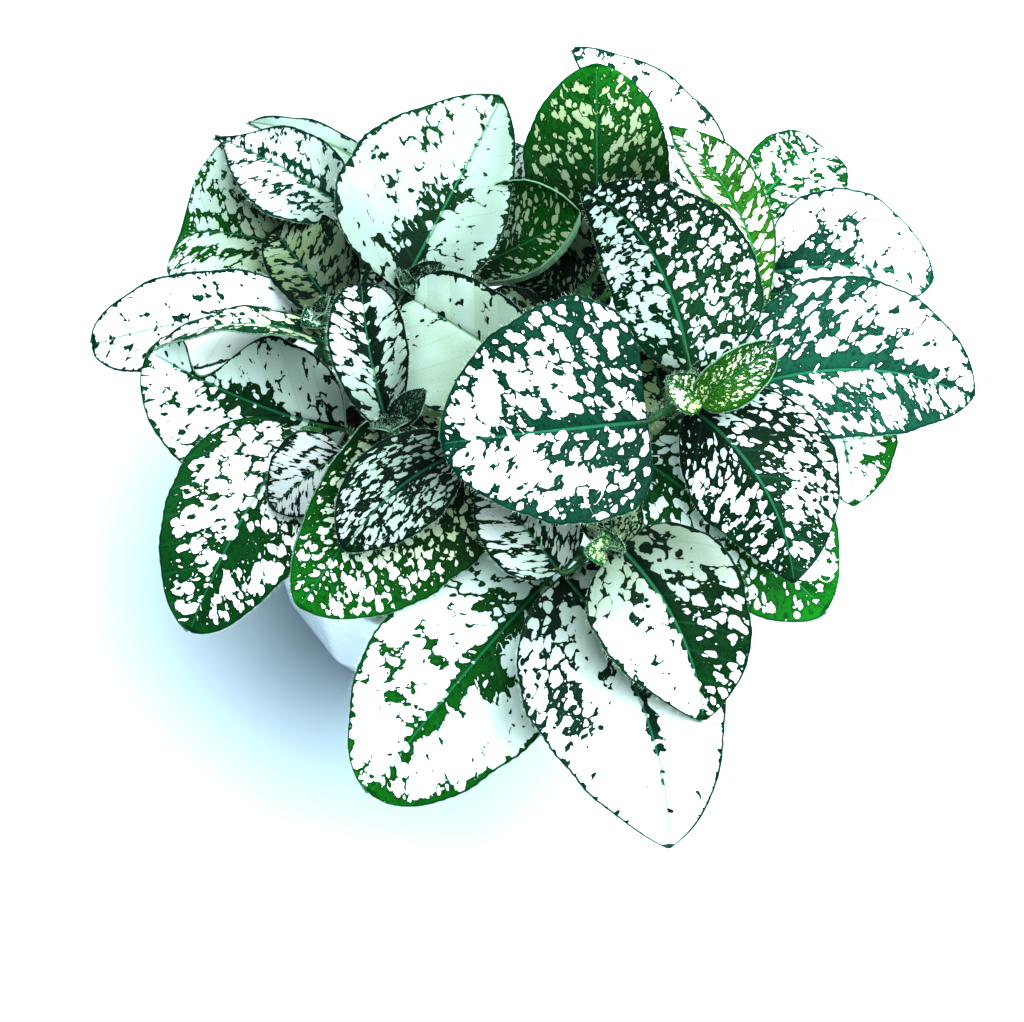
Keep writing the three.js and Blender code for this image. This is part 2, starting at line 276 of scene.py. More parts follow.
# %% The pot's shape
pot_sides = 12
pot_corner_angle = 232.2
foot_radius = 32 * MM
girdle_radius = 41.5 * MM
girdle_height = 32 * MM
rim_radius = 42.5 * MM
pot_height = 70 * MM
pot_wall = 3.5 * MM
pot_floor = 6 * MM
glaze_rounding = 1.5 * MM


def alone(piece):
    """Selects one object and nothing else, and makes it the active one."""
    bpy.ops.object.select_all(action="DESELECT")
    piece.select_set(True)
    bpy.context.view_layer.objects.active = piece


def applied(piece, kind, **settings):
    """Adds a modifier with these settings and applies it."""
    alone(piece)
    modifier = piece.modifiers.new(kind.lower(), kind)
    for key, value in settings.items():
        setattr(modifier, key, value)
    bpy.ops.object.modifier_apply(modifier=modifier.name)


def inner_radius(height):
    if height > girdle_height:
        share = (height - girdle_height) / (pot_height - girdle_height)
        return girdle_radius + share * (rim_radius - girdle_radius) - pot_wall
    return foot_radius + height / girdle_height * (girdle_radius - foot_radius) - pot_wall


def turned_rings(rings):
    """A twelve-sided disc at the first ring's height, extruded from ring to ring of (radius, height)."""
    radius, height = rings[0]
    bpy.ops.object.select_all(action="DESELECT")
    first_corner = math.radians(pot_corner_angle - 90)
    bpy.ops.mesh.primitive_circle_add(
        vertices=pot_sides, radius=radius, fill_type="NGON",
        location=(0, 0, height), rotation=(0, 0, first_corner),
    )
    piece = bpy.context.active_object
    bpy.ops.object.transform_apply(location=True, rotation=True, scale=True)
    bpy.ops.object.mode_set(mode="EDIT")
    for next_radius, next_height in rings[1:]:
        bpy.ops.mesh.extrude_region_move(TRANSFORM_OT_translate={"value": (0, 0, next_height - height)})
        share = next_radius / radius
        bpy.ops.transform.resize(value=(share, share, 1), center_override=(0, 0, next_height))
        radius, height = next_radius, next_height
    bpy.ops.mesh.select_all(action="SELECT")
    bpy.ops.mesh.normals_make_consistent(inside=False)
    bpy.ops.object.mode_set(mode="OBJECT")
    return piece


pot = turned_rings([
    (foot_radius, 0),
    (girdle_radius, girdle_height),
    (rim_radius, pot_height),
    (inner_radius(pot_height), pot_height),
    (inner_radius(girdle_height), girdle_height),
    (inner_radius(pot_floor), pot_floor),
])
pot.name = "glazed_pot"
applied(pot, "BEVEL", width=glaze_rounding, segments=4, limit_method="ANGLE", angle_limit=math.radians(12))
alone(pot)
bpy.ops.object.shade_smooth_by_angle(angle=math.radians(35))
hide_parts("pot")
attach(pot, "root")
print("pot:", len(pot.data.polygons), "faces")

# %% [markdown]
# ## The glaze
# White glaze pools a little, which shows as faint darker clouds, and its surface ripples like orange
# peel. A picture wrapped round the pot would need a seam, so two noises in space do it: a wide one
# for the colour and a fine one for the shine. A thin clear coat on top gives the sharp glints.

# %% The glaze
board = Board(bpy.data.materials.new("white glaze"))
spot = board.place()
pooling = board.noise(spot, 60.0, 3.0)
ripple = board.noise(spot, 220.0, 2.0)
glaze_colour = board.mixed(pooling, linear(232, 238, 244), linear(246, 249, 252))
pot.data.materials.append(board.finish(
    Base_Color=glaze_colour,
    Roughness=board.step(ripple, 0.2, 0.9) * 0.08 + 0.12,
    Normal=board.bump(ripple, 0.0002),
    Coat_Weight=0.4,
    Coat_Roughness=0.05,
))
print("glaze:", len(board.tree.nodes), "boxes")

# %% [markdown]
# ## The soil
# Dark crumbly peat fills the pot to a little below the rim. Its body is made as the pot's inside was,
# and its top is cut into small faces. A Displace modifier with a cloudy noise lifts them, which keeps
# the soil one closed body, and only where a vertex group lets it, so the wall's side stays smooth.

# %% The soil's body
fit_gap = 0.3 * MM
soil_level = 58 * MM
soil_margin = 1.5 * MM  # kept smooth along the wall
clod_size = 3.5 * MM
clod_height = 2.4 * MM
wall_inset = 0.4 * MM  # between the wall and the faces that are cut finer
fine_cuts = 22


def soil_radius(height):
    return inner_radius(height) - fit_gap


soil = turned_rings([
    (soil_radius(pot_floor), pot_floor + fit_gap),
    (soil_radius(girdle_height), girdle_height),
    (soil_radius(soil_level), soil_level - soil_margin),
])
soil.name = "peat_soil"
alone(soil)
bpy.ops.object.mode_set(mode="EDIT")
bpy.ops.mesh.select_all(action="DESELECT")
bpy.ops.mesh.select_mode(type="FACE")
bpy.ops.object.mode_set(mode="OBJECT")
top_face = max(soil.data.polygons, key=lambda face: face.center.z)
top_face.select = True
bpy.ops.object.mode_set(mode="EDIT")
bpy.ops.mesh.inset(thickness=wall_inset)
bpy.ops.mesh.poke()
bpy.ops.mesh.subdivide(number_cuts=fine_cuts)
bpy.ops.mesh.select_all(action="DESELECT")
bpy.ops.object.mode_set(mode="OBJECT")
lifted = soil.vertex_groups.new(name="top")
inside = soil_radius(soil_level) * math.cos(math.pi / pot_sides) - soil_margin
on_top = [v.index for v in soil.data.vertices if v.co.z > soil_level - 2 * MM and v.co.xy.length < inside]
lifted.add(on_top, 1.0, "ADD")
clods = bpy.data.textures.new("clods", "CLOUDS")
clods.noise_scale = clod_size
clods.noise_depth = 3
applied(soil, "DISPLACE", texture=clods, texture_coords="LOCAL", direction="Z", strength=clod_height,
        mid_level=0.45, vertex_group="top")
print("soil's body:", len(soil.data.polygons), "faces")

# %% [markdown]
# ## Crumbs
# Loose crumbs of all sizes lie on top, small ones far more often than large ones. One crumb is
# modelled and its copies are turned, sized and placed by a seeded draw, so that every run lays them
# the same way. A particle system could do it, but its copies aren't real faces until it is applied.

# %% The crumbs
crumb_count = 420
crumb_size = 0.45 * MM
crumb_growth = 0.9 * MM  # how much larger the few largest crumbs are
crumb_stretch = (0.8, 1.0, 1.25)  # no crumb is quite round
sunk_deepest, sunk_spread = 1.4, 0.8  # mm by which the crumbs are sunk below the soil's level


def placed(name, points, faces):
    """An object with these points and faces."""
    mesh = bpy.data.meshes.new(name)
    mesh.from_pydata([tuple(p) for p in points], [], faces)
    mesh.update()
    piece = bpy.data.objects.new(name, mesh)
    bpy.context.collection.objects.link(piece)
    return piece


def taken(piece):
    """The points and faces of an object, which is then removed."""
    points = np.array([v.co[:] for v in piece.data.vertices])
    faces = [tuple(p.vertices) for p in piece.data.polygons]
    bpy.data.objects.remove(piece)
    return points, faces


def copied(shape, places):
    """Copies of one shape as the points and faces of one mesh; each place is (point, 3x3 axes)."""
    points, faces = shape
    all_points = [points @ np.asarray(axes) + point for point, axes in places]
    all_faces = [tuple(i + k * len(points) for i in face) for k in range(len(places)) for face in faces]
    return np.concatenate(all_points), all_faces


draw = np.random.default_rng(7)
bpy.ops.mesh.primitive_ico_sphere_add(subdivisions=1, radius=1.0)
bpy.ops.object.mode_set(mode="EDIT")
bpy.ops.transform.vertex_random(offset=0.3, seed=3)
bpy.ops.object.mode_set(mode="OBJECT")
crumb = taken(bpy.context.active_object)
places = []
for _ in range(crumb_count):
    reach = inside * math.sqrt(draw.random())
    angle = 2 * math.pi * draw.random()
    size = crumb_size + crumb_growth * draw.random() ** 3
    turn = np.linalg.qr(draw.normal(size=(3, 3)))[0]
    turn *= np.sign(np.linalg.det(turn))
    height = soil_level + (sunk_spread * draw.random() - sunk_deepest) * MM
    point = (reach * math.cos(angle), reach * math.sin(angle), height)
    places.append((point, turn * size * crumb_stretch))
alone(soil)
placed("crumbs", *copied(crumb, places)).select_set(True)
bpy.ops.object.join()
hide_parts("soil")
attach(soil, "root")
print("soil with", crumb_count, "crumbs:", len(soil.data.polygons), "faces")

# %% [markdown]
# ## The soil's finish
# Moist peat is nearly black, with paler dry fibres in it. Damp and dry places come from a wide noise
# and the fibres from a fine one, which also roughens the surface where real crumbs would be too many.

# %% The soil's finish
board = Board(bpy.data.materials.new("moist peat"))
spot = board.place()
fibre = board.noise(spot, 900.0, 4.0, 0.7)
damp = board.noise(spot, 120.0, 2.0)
peat_dark = board.mixed(damp, linear(26, 20, 16), linear(52, 40, 31))
peat_colour = board.mixed(board.step(fibre, 0.5, 0.8), peat_dark, linear(92, 70, 50))
soil.data.materials.append(board.finish(
    Base_Color=peat_colour, Roughness=damp * 0.3 + 0.65, Normal=board.bump(fibre, 0.0006)
))
print("peat:", len(board.tree.nodes), "boxes")

# %% [markdown]
# ## How a blade lies
# No two leaves of the plant lie alike. Besides its base, its tip and its width, a leaf has:
# - face, the direction in which its upper side looks
# - arch and sweep, how far its midrib bows up and aside, in millimetres
# - fold, the angle by which both halves rise from the midrib, in degrees
# - left and right, how much further each half curls, in degrees
# - widest, where it is widest, as a share of its length
# - point, low for a blunt tip and high for a sharp one
# - lean, above 0 where the right half is the wider one
# - notch, the place, depth and span of a cut into its right margin
#
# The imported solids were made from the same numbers. Here they carry the points of a fine flat grid to
# their places, which gives a smooth blade where the solid has a few facets. Bending each blade by
# hand, with a lattice or curve, would be the other way, but it would drift from the solid.

# %% How a blade lies
narrowest = 0.5 * MM
plain_blade = {
    "face": (0, -0.5, 1),
    "arch": 3,
    "sweep": 0,
    "fold": 8,
    "left": 0,
    "right": 0,
    "widest": 0.38,
    "point": 0.75,
    "lean": 0,
    "notch": (0, 0, 1),
}
leaves = {}


def leaf(name, stem, base, tip, width, look, **shape):
    base, tip = np.array(base) * MM, np.array(tip) * MM
    leaves[name] = {
        **plain_blade, **shape, "stem": stem, "base": base, "tip": tip, "width": width * MM, "look": look,
        "length": np.linalg.norm(tip - base), "number": len(leaves), "low": name.startswith("under"),
    }


def unit(vectors):
    return vectors / np.linalg.norm(vectors, axis=-1, keepdims=True)


def midrib(blade, t):
    """The midrib at shares t of the blade: points, and the directions along, across and up."""
    t = np.asarray(t, float)[:, None]
    chord = blade["tip"] - blade["base"]
    face = np.array(blade["face"], float)
    ahead = unit(chord)
    side = unit(np.cross(ahead, unit(face)))
    bow = blade["arch"] * MM * np.cross(side, ahead) + blade["sweep"] * MM * side
    points = blade["base"] + t * chord + 4 * t * (1 - t) * bow
    along = unit(chord + 4 * (1 - 2 * t) * bow)
    across = unit(np.cross(along, unit(face)))
    return points, along, across, np.cross(across, along)


def half_width(blade, t, right):
    """Half the width at shares t, on the right half where right is true and on the left elsewhere."""
    widest, point = blade["widest"], blade["point"]
    rise = point * widest / (1 - widest)
    outline = (t / widest) ** rise * ((1 - t) / (1 - widest)) ** point
    at, depth, span = blade["notch"]
    notched = np.where(right, 1 - depth * np.exp(-(((t - at) / span) ** 2)), 1)
    leaning = np.where(right, 1 + blade["lean"], 1 - blade["lean"])
    return np.maximum(blade["width"] / 2 * outline * leaning * notched, narrowest)


print("a plain blade:", plain_blade)

# %% [markdown]
# ## The markings of a leaf
# The white of a leaf is tissue without green. It starts as round specks, which run together into
# scalloped patches, and what green is left between them ends in sharp cusps. So each leaf needs a
# share of white that rises and falls over the blade, and the material lets round cells grow by it.
# A touch raises or lowers the share round one place: (t, s, length, breadth, change) in hundredths,
# where t runs from base to tip and s from the left margin, -100, to the right, 100.

# %% The colours of the leaves
teal = linear(7, 72, 54)
bottle = linear(8, 80, 26)
vivid = linear(20, 122, 16)
leafy = linear(42, 104, 12)
lime = linear(62, 122, 14)
blackish = linear(3, 23, 10)
grey_teal = linear(28, 98, 76)
white = linear(250, 253, 252)
mint = linear(226, 243, 236)
# Painted shade: a white dulled for white tissue that lies in deep shade.
shaded_stone = linear(140, 156, 134)
deep = linear(6, 66, 32)
sour = linear(190, 212, 132)
# Painted shade: the next three are whites dulled for white tissue that lies in shade.
shaded_pearl = linear(188, 203, 193)
shaded_ash = linear(166, 184, 172)
shaded_lilac = linear(190, 193, 192)
cream = linear(200, 216, 168)
# Painted shade: the next two are whites dulled for white tissue in the deeper shade of inner leaves.
shaded_olive = linear(146, 164, 124)
shaded = linear(96, 114, 86)


def ends(colour):
    """The colours at base and tip; a single colour stands for both."""
    return colour if len(colour) == 2 else (colour, colour)


def paint(share, green=teal, pale=white, *touches, grain=(0.9, 1, 0.35), margin=0.5,
          painted_shade=((0, 0, 22, 300, 40),)):
    """A leaf's look: its share of white, its greens and its whites at base and tip, and its touches.

    Grain is how closely the spots stand across and along the leaf, and how far they slant outwards.
    Margin is how much green its edge keeps. The last touches are painted shade: they darken the blade
    near the stalk and under folds, where other leaves shade it. A darker colour at the base is partly
    the leaf's own and partly painted shade.
    """
    look = {"share": share, "green": ends(green), "pale": ends(pale), "margin": margin}
    return {**look, "grain": grain, "touches": touches, "painted_shade": painted_shade}


def low_leaf(name, stem, base, tip, width, share, green, pale, arch=5):
    """A low inner leaf, plainer than the others."""
    leaf(name, stem, base, tip, width, paint(share, green, pale), arch=arch)


def touched(start, touches, t, s):
    """A value over the blade: start, changed by each touch as a soft bell."""
    value = np.full(t.shape, float(start))
    for touch in touches:
        at_t, at_s, length, breadth, change = (part / 100 for part in touch)
        value += change * np.exp(-(((t - at_t) / length) ** 2) - ((s - at_s) / breadth) ** 2)
    return value


print("a plain look:", paint(0.5))

# %% [markdown]
# ## Every leaf
# Each row says where the leaf grows, how large it is, how it is marked and how it lies. Places and
# widths are in millimetres.

# %% The right stem's leaves
leaf("right_young", "right", (61, -14, 131), (77.5, -3, 136), 14.5,
     paint(0.46, (lime, bottle), (sour, white), (10, 0, 30, 120, -22), grain=(1.5, 1.6, 0.5)),
     face=(0.2, -0.6, 1), arch=2, fold=24, widest=0.38, left=30, right=30)
leaf("right_bud", "right", (62, -15, 131), (53.5, -11, 135), 9,
     paint(0.67, (lime, leafy), (sour, white)), fold=20, arch=1)
leaf("centre_back", "right", (60, -3, 126), (37, 51, 120), 36,
     paint(0.7, (deep, blackish), (shaded_pearl, mint), (55, 50, 35, 35, -30), (95, 20, 12, 80, -35),
         (50, 3, 50, 6, -50), (15, 0, 10, 80, -15), grain=(1.05, 1.2, 0.4), painted_shade=((0, 0, 15, 200, 30),
         (90, 40, 40, 60, 50))), face=(-0.2, -0.3, 1), arch=6, sweep=6, fold=-20, lean=0.25)
leaf("right_front", "right", (59, -13, 127), (82, -48, 110), 37,
     paint(0.58, (blackish, deep), (mint, white), (30, -35, 9, 25, -35), (68, -50, 6, 15, 40),
         (50, 0, 50, 7, -60), (8, 0, 8, 100, -20), grain=(1, 1.2, 0.5), painted_shade=((0, 0, 25, 200, 50),
         (40, -70, 40, 30, 30))), face=(0, -0.3, 1), arch=6, sweep=-4, fold=-22, lean=-0.18, widest=0.42)
leaf("centre", "right", (50, -17, 127), (5, -22, 126), 49,
     paint(0.83, teal, white, (20, -30, 13, 25, -35), (25, 0, 30, 10, -60), (30, -85, 50, 20, -35),
         (45, 85, 40, 20, -45), (25, 40, 15, 30, -30), (95, -5, 5, 18, -80), (5, 0, 8, 120, -35),
         (50, 15, 10, 15, -40), (45, -30, 6, 12, -50), margin=0.6),
     arch=4, lean=0.14, widest=0.33, point=0.6)
leaf("far_right", "right", (73, -3, 119), (127, 0, 109), 38,
     paint(0.83, (grey_teal, teal), white, (75, 85, 30, 20, -35), (22, -50, 20, 40, -18),
         (40, -10, 50, 8, -90), (38, 50, 12, 30, -50), (63, 30, 10, 25, -30), (75, 55, 8, 15, -40),
         (10, 0, 10, 120, -45), (35, -55, 15, 40, -20), grain=(0.85, 1, 0.5)),
     face=(0, -0.3, 1), arch=5, sweep=-4, lean=-0.12, widest=0.4, point=0.7)
leaf("lime_back", "right", (79, 13, 112), (59, 71, 120), 17,
     paint(0.78, (lime, leafy), (sour, white), (60, -12, 50, 16, -30), (65, 40, 15, 40, -35),
         grain=(0.7, 1.3, 0.6)), face=(0.5, -0.4, 1), arch=4, sweep=6, fold=15, widest=0.66, point=0.9)
leaf("right_low", "right", (49, -17, 112), (92, -46, 92), 40,
     paint(0.63, (bottle, vivid), (mint, white), (80, 45, 12, 30, -45), (50, 50, 12, 25, -30),
         margin=0.9), face=(0, -0.3, 1), arch=5, lean=-0.15, point=0.6)
leaf("right_behind", "right", (83, 39, 104), (125, 42, 96), 32,
     paint(0.98, (teal, grey_teal), white, (25, -15, 25, 8, -80), (35, -40, 15, 25, -35),
         (35, 65, 20, 35, -40), (10, 20, 10, 60, -30)), face=(0, -0.3, 1), arch=5, sweep=-1, lean=-0.2)
leaf("right_under", "right", (97, 8, 96), (102, -16, 86), 24,
     paint(1.03, vivid, white, (55, -90, 50, 20, -100), (30, -45, 6, 20, -80), (62, -45, 7, 20, -80)),
     face=(0.2, -0.3, 1), arch=2, lean=-0.1)
leaf("centre_dark", "right", (61, -18, 105), (51, 22, 110), 20,
     paint(0.74, blackish, shaded_olive), face=(-0.3, -0.4, 1))
leaf("middle_white", "right", (32, 2, 108), (-5, 27, 112), 32,
     paint(1.08, blackish, (shaded_stone, shaded_ash), (70, 35, 4, 25, -70), (90, -60, 10, 10, -60), margin=0.8,
         painted_shade=((20, 50, 35, 80, 35), (95, -60, 20, 40, 30))), arch=2, lean=-0.25, widest=0.6, point=0.45)
print(len(leaves), "leaves so far")

# %% The front stem's leaves
leaf("front_young", "front", (43, -41, 114), (41, -24, 117), 14,
     paint(0.63, (blackish, bottle), shaded_olive, grain=(1.3, 1.6, 0.5)), face=(0, -1, 1.2), arch=1)
leaf("front_right", "front", (44, -42, 116), (62, -75, 98), 34,
     paint(1, (blackish, bottle), (shaded_stone, white), (55, -48, 36, 40, -78), (30, -80, 12, 20, 35),
         (8, 20, 8, 80, -50), (40, -8, 40, 7, -110), (27, 25, 4, 12, -70), (36, 42, 5, 8, -70),
         painted_shade=((0, 0, 25, 200, 40), (30, -70, 30, 40, 25))),
     face=(0, -0.3, 1), arch=6, sweep=-3, widest=0.35)
leaf("front_inner", "front", (31, -45, 110), (14, -20, 108), 23,
     paint(0.72, (blackish, bottle), (shaded_pearl, white), grain=(0.8, 1.5, 0.7)), lean=0.12)
leaf("front_tip", "front", (32, -43, 104), (55, -98, 80), 43,
     paint(1.11, (blackish, teal), (shaded_pearl, white), (5, 20, 16, 150, -60), (40, -6, 25, 7, -120),
         (38, 70, 20, 25, -65), (36, 20, 4, 10, -60)), face=(0, -0.2, 1), arch=7, sweep=-5, lean=0.12)
leaf("front_left", "front", (29, -39, 94), (-12, -82, 70), 45,
     paint(1.04, (bottle, vivid), (mint, white), (55, -6, 40, 10, -90), (38, -30, 6, 25, -90),
         (45, 40, 5, 40, -45), (66, 45, 5, 45, -45), (20, 40, 12, 50, -40), (57, 70, 4, 25, -40),
         (98, -50, 5, 70, -80), (80, -95, 15, 10, -70), margin=0.7, painted_shade=((0, 0, 22, 300, 40),
         (35, -60, 25, 40, 30))), face=(-0.1, -0.3, 1), arch=6, point=0.55)
leaf("front_bud", "front", (41, -42, 114), (36, -44, 118), 7, paint(0.85, vivid, cream), fold=20, arch=1)
print(len(leaves), "leaves so far")

# %% The middle stem's leaves
leaf("middle_upright", "middle", (-7, -12, 114), (-14, 22, 124), 18,
     paint(0.79, blackish, (shaded_ash, shaded_pearl), (50, 20, 60, 10, -80), (55, -35, 30, 40, -15),
         grain=(0.8, 1.2, 0.6), painted_shade=((0, 0, 35, 200, 60), (50, 80, 50, 40, 40))),
     arch=2, sweep=-1, widest=0.58, point=0.5)
leaf("middle_small", "middle", (-18, -13, 107), (-35, -23, 98), 20,
     paint(0.83, blackish, shaded_lilac, (40, 15, 8, 8, -50), (25, 45, 10, 6, -50), (68, 60, 6, 15, -50),
         grain=(0.6, 1.5, 0.7)), face=(-0.2, -0.4, 1), arch=2)
leaf("middle_dark", "middle", (11, -15, 112), (-17, -37, 104), 22,
     paint(0.6, blackish, (shaded_ash, shaded_pearl), (30, 20, 20, 60, -20), grain=(2.1, 1.05, 0.6),
         painted_shade=((10, 30, 40, 100, 70),)), sweep=3, widest=0.5)
leaf("middle_front", "middle", (0, -9, 106), (-28, -45, 91), 42,
     paint(0.54, (blackish, vivid), (cream, white), (5, 0, 30, 120, -10), grain=(1.15, 1.25, 0.3),
         margin=0.9, painted_shade=((0, 0, 35, 200, 70),)),
     face=(0, -0.4, 1), arch=4, right=50, lean=-0.3, widest=0.28, point=0.6)
leaf("left_front", "middle", (-30, -1, 96), (-55, -45, 78), 38,
     paint(0.77, bottle, white, (65, -12, 45, 9, -70), (72, 55, 10, 50, -40), (55, -40, 10, 20, -50),
         (90, -70, 15, 30, -40), (50, 90, 60, 12, -50), (96, 30, 6, 80, -30), margin=0.9),
     face=(-0.2, -0.3, 1), arch=5, point=0.6)
leaf("middle_pale", "middle", (8, -3, 98), (-1, 12, 99), 12,
     paint(0.81, blackish, cream), arch=2, widest=0.5, point=0.5)
leaf("left_wavy", "middle", (-19, -2, 98), (-67, 19, 100), 39,
     paint(0.93, (blackish, bottle), (shaded_pearl, mint), (45, -5, 30, 10, -80), (48, -50, 15, 35, -35),
         (42, 30, 5, 30, -50), (55, 15, 8, 12, -40), (12, 30, 4, 60, -30), painted_shade=((0, 0, 25, 200, 30),
         (30, 60, 35, 50, 40), (10, -60, 20, 50, 30))),
     arch=-6, sweep=-2, lean=-0.12, widest=0.45, point=0.5, notch=(0.76, 0.97, 0.13))
leaf("middle_bud", "middle", (-6, -11, 116), (1, -5, 121), 7,
     paint(0.05, blackish, shaded), fold=20, arch=1)
low_leaf("under_left_inner", "middle", (-18, -2, 84), (-42, -10, 72), 28, 0.5, blackish, shaded, arch=4)
low_leaf("under_middle", "middle", (-6, -12, 86), (-28, -22, 72), 28, 0.5, blackish, shaded, arch=4)
low_leaf("under_centre", "middle", (-1, -12, 86), (14, -26, 82), 22, 0.55, blackish, shaded, arch=4)
print(len(leaves), "leaves so far")

# %% The back left stem's leaves
leaf("back_left_white", "back_left", (-6, 28, 112), (18, 82, 118), 42,
     paint(0.98, (blackish, bottle), shaded_ash, (30, -12, 26, 8, -110), (50, 10, 6, 14, -60),
         (15, -40, 6, 20, -60), (15, 20, 7, 30, -60), (65, -60, 20, 15, -25), margin=0.7,
         painted_shade=((0, 0, 30, 200, 45), (50, 70, 80, 55, 35))),
     face=(0, -0.8, 1), arch=-3, lean=-0.25, widest=0.38, point=0.75)
leaf("cupped", "back_left", (3, 41, 98), (37, 54, 108), 36,
     paint(0.44, (blackish, vivid), (shaded_ash, cream), grain=(0.9, 1.5, 0.6), painted_shade=((30, 0, 60, 200, 60),)),
     arch=-6, fold=0, left=60, right=110, widest=0.6, point=0.45)
leaf("back_left_bud", "back_left", (-3, 30, 111), (4, 33, 116), 7,
     paint(0.4, blackish, shaded), fold=20, arch=1)
low_leaf("under_back_left", "back_left", (-8, 44, 84), (-16, 86, 70), 36,
         0.6, (blackish, bottle), mint, arch=6)
print(len(leaves), "leaves so far")

# %% The back stem's leaves
leaf("back_upright", "back", (42, 47, 96), (41, 83, 129), 37,
     paint(0.46, (blackish, vivid), (shaded_olive, cream), (50, -10, 12, 30, -25), (80, 0, 10, 80, 8),
         grain=(1.25, 1, 0.5), margin=0.9, painted_shade=((0, 0, 60, 300, 85), (45, 50, 25, 40, 30))),
     face=(0, -1, 1), arch=0, fold=-12, widest=0.5, point=0.65)
leaf("back_white", "back", (72, 66, 98), (36, 101, 114), 23,
     paint(0.94), face=(0.3, -0.2, 1), arch=4, lean=0.15)
leaf("back_right", "back", (78, 63, 90), (102, 94, 86), 26,
     paint(0.72, (vivid, bottle), mint), face=(0, -0.2, 1), lean=0.2, widest=0.6, point=0.5)
leaf("back_grey", "back", (23, 62, 90), (19, 85, 98), 20,
     paint(0.7, teal, shaded_lilac), face=(0, -0.4, 1), arch=2)
leaf("back_dark", "back", (42, 35, 88), (23, 52, 90), 24,
     paint(0.26, blackish, shaded_olive, grain=(0.9, 1.5, 0.5), painted_shade=((30, 0, 60, 200, 60),)), face=(0, -0.4, 1))
leaf("back_bud", "back", (45, 47, 104), (50, 53, 107), 7, paint(0.5, vivid, cream), fold=20, arch=1)
low_leaf("under_back", "back", (24, 52, 80), (18, 92, 68), 34, 0.6, (blackish, bottle), mint)
low_leaf("under_cupped", "back", (32, 30, 88), (4, 26, 84), 30, 0.6, blackish, shaded, arch=4)
low_leaf("under_centre_back", "back", (44, 36, 88), (68, 14, 82), 30, 0.4, blackish, shaded, arch=4)
low_leaf("under_back_white", "back", (52, 58, 94), (64, 96, 90), 30,
         0.6, (blackish, bottle), mint, arch=4)
low_leaf("under_far_back", "back", (66, 46, 84), (104, 54, 72), 32, 0.6, bottle, (mint, white))
low_leaf("under_back_right", "back", (60, 52, 80), (94, 78, 64), 36, 0.6, bottle, (mint, white))
print(len(leaves), "leaves so far")

# %% The left stem's leaves
leaf("left_back", "left", (-33, 53, 94), (-65, 63, 88), 42,
     paint(0.85, (blackish, vivid), (shaded_olive, mint), (40, -35, 35, 8, -50), (55, 10, 15, 8, -50),
         (100, -40, 6, 60, -60), (90, 20, 15, 6, -50), grain=(0.8, 1, 0.5), painted_shade=((0, 0, 40, 200, 45),
         (60, 30, 40, 50, 20))), face=(0, -0.2, 1), arch=4, lean=0.2, widest=0.6, point=0.28)
leaf("left_narrow", "left", (-17, 55, 104), (-56, 84, 100), 24,
     paint(0.91, teal, (shaded_ash, white), (40, 22, 40, 7, -90), (30, -40, 20, 15, -35), (25, 10, 12, 10, -40),
         grain=(1.1, 1.6, 0.5), painted_shade=((0, 0, 30, 200, 35), (50, 80, 60, 30, 25))),
     face=(0, -0.3, 1), arch=6, lean=-0.05, widest=0.4, point=1.6)
leaf("left_sliver", "left", (-15, 73, 102), (-48, 90, 99), 9,
     paint(1.18, teal, shaded_ash), face=(0.2, -0.2, 1), arch=4)
leaf("left_shaded", "left", (-21, 28, 101), (-39, 55, 100), 22,
     paint(0.71, blackish, (shaded, shaded_olive), grain=(0.8, 1.3, 0.6), painted_shade=((0, 0, 50, 200, 50),)),
     face=(0, -0.4, 1), arch=2, lean=0.25, widest=0.5, point=0.5)
leaf("far_left", "left", (-29, 33, 96), (-85, 31, 84), 25,
     paint(1.03, teal, white, (40, 15, 25, 5, -60), (80, -35, 3, 10, -90), (68, 33, 3, 5, -80),
         (40, 45, 10, 6, -60), painted_shade=((0, 0, 25, 200, 40), (15, -50, 20, 50, 30))),
     face=(0, -0.3, 1), arch=6, widest=0.5, point=0.5)
leaf("left_edge_on", "left", (-24, 19, 104), (-65, 18, 102), 14,
     paint(0.8, (teal, bottle), (cream, white), (50, -80, 50, 30, -50)), face=(0, 0.6, 1), arch=6)
leaf("left_bud", "left", (-26.5, 25, 104), (-29, 20, 109), 7, paint(0.6, bottle, mint), fold=20, arch=1)
low_leaf("under_left_back", "left", (-30, 40, 82), (-62, 66, 66), 34,
         0.6, (blackish, bottle), (shaded_olive, mint))
low_leaf("under_left", "left", (-32, 12, 80), (-62, 4, 64), 32, 0.6, (blackish, bottle), (shaded_olive, mint))
print(len(leaves), "leaves so far")

# %% The lowest leaves at the right and the front
low_leaf("under_right", "right", (70, 4, 90), (108, 18, 72), 34, 0.6, bottle, (mint, white))
low_leaf("under_front", "front", (28, -34, 82), (25, -67, 66), 32, 0.6, (blackish, bottle), (mint, white))
low_leaf("under_front_right", "front", (40, -32, 90), (80, -26, 76), 32,
         0.6, (blackish, bottle), (shaded_olive, mint))
print(len(leaves), "leaves so far")

# %% [markdown]
# ## The newest leaves
# Every stem ends in a pair of tiny folded leaves, which hide its growing point. All six pairs follow
# one rule and look in different directions, but the four pairs that lie in shade get darker colours,
# which are painted shade. The stems' feet and tops, which the stems need again further down, are in
# millimetres.

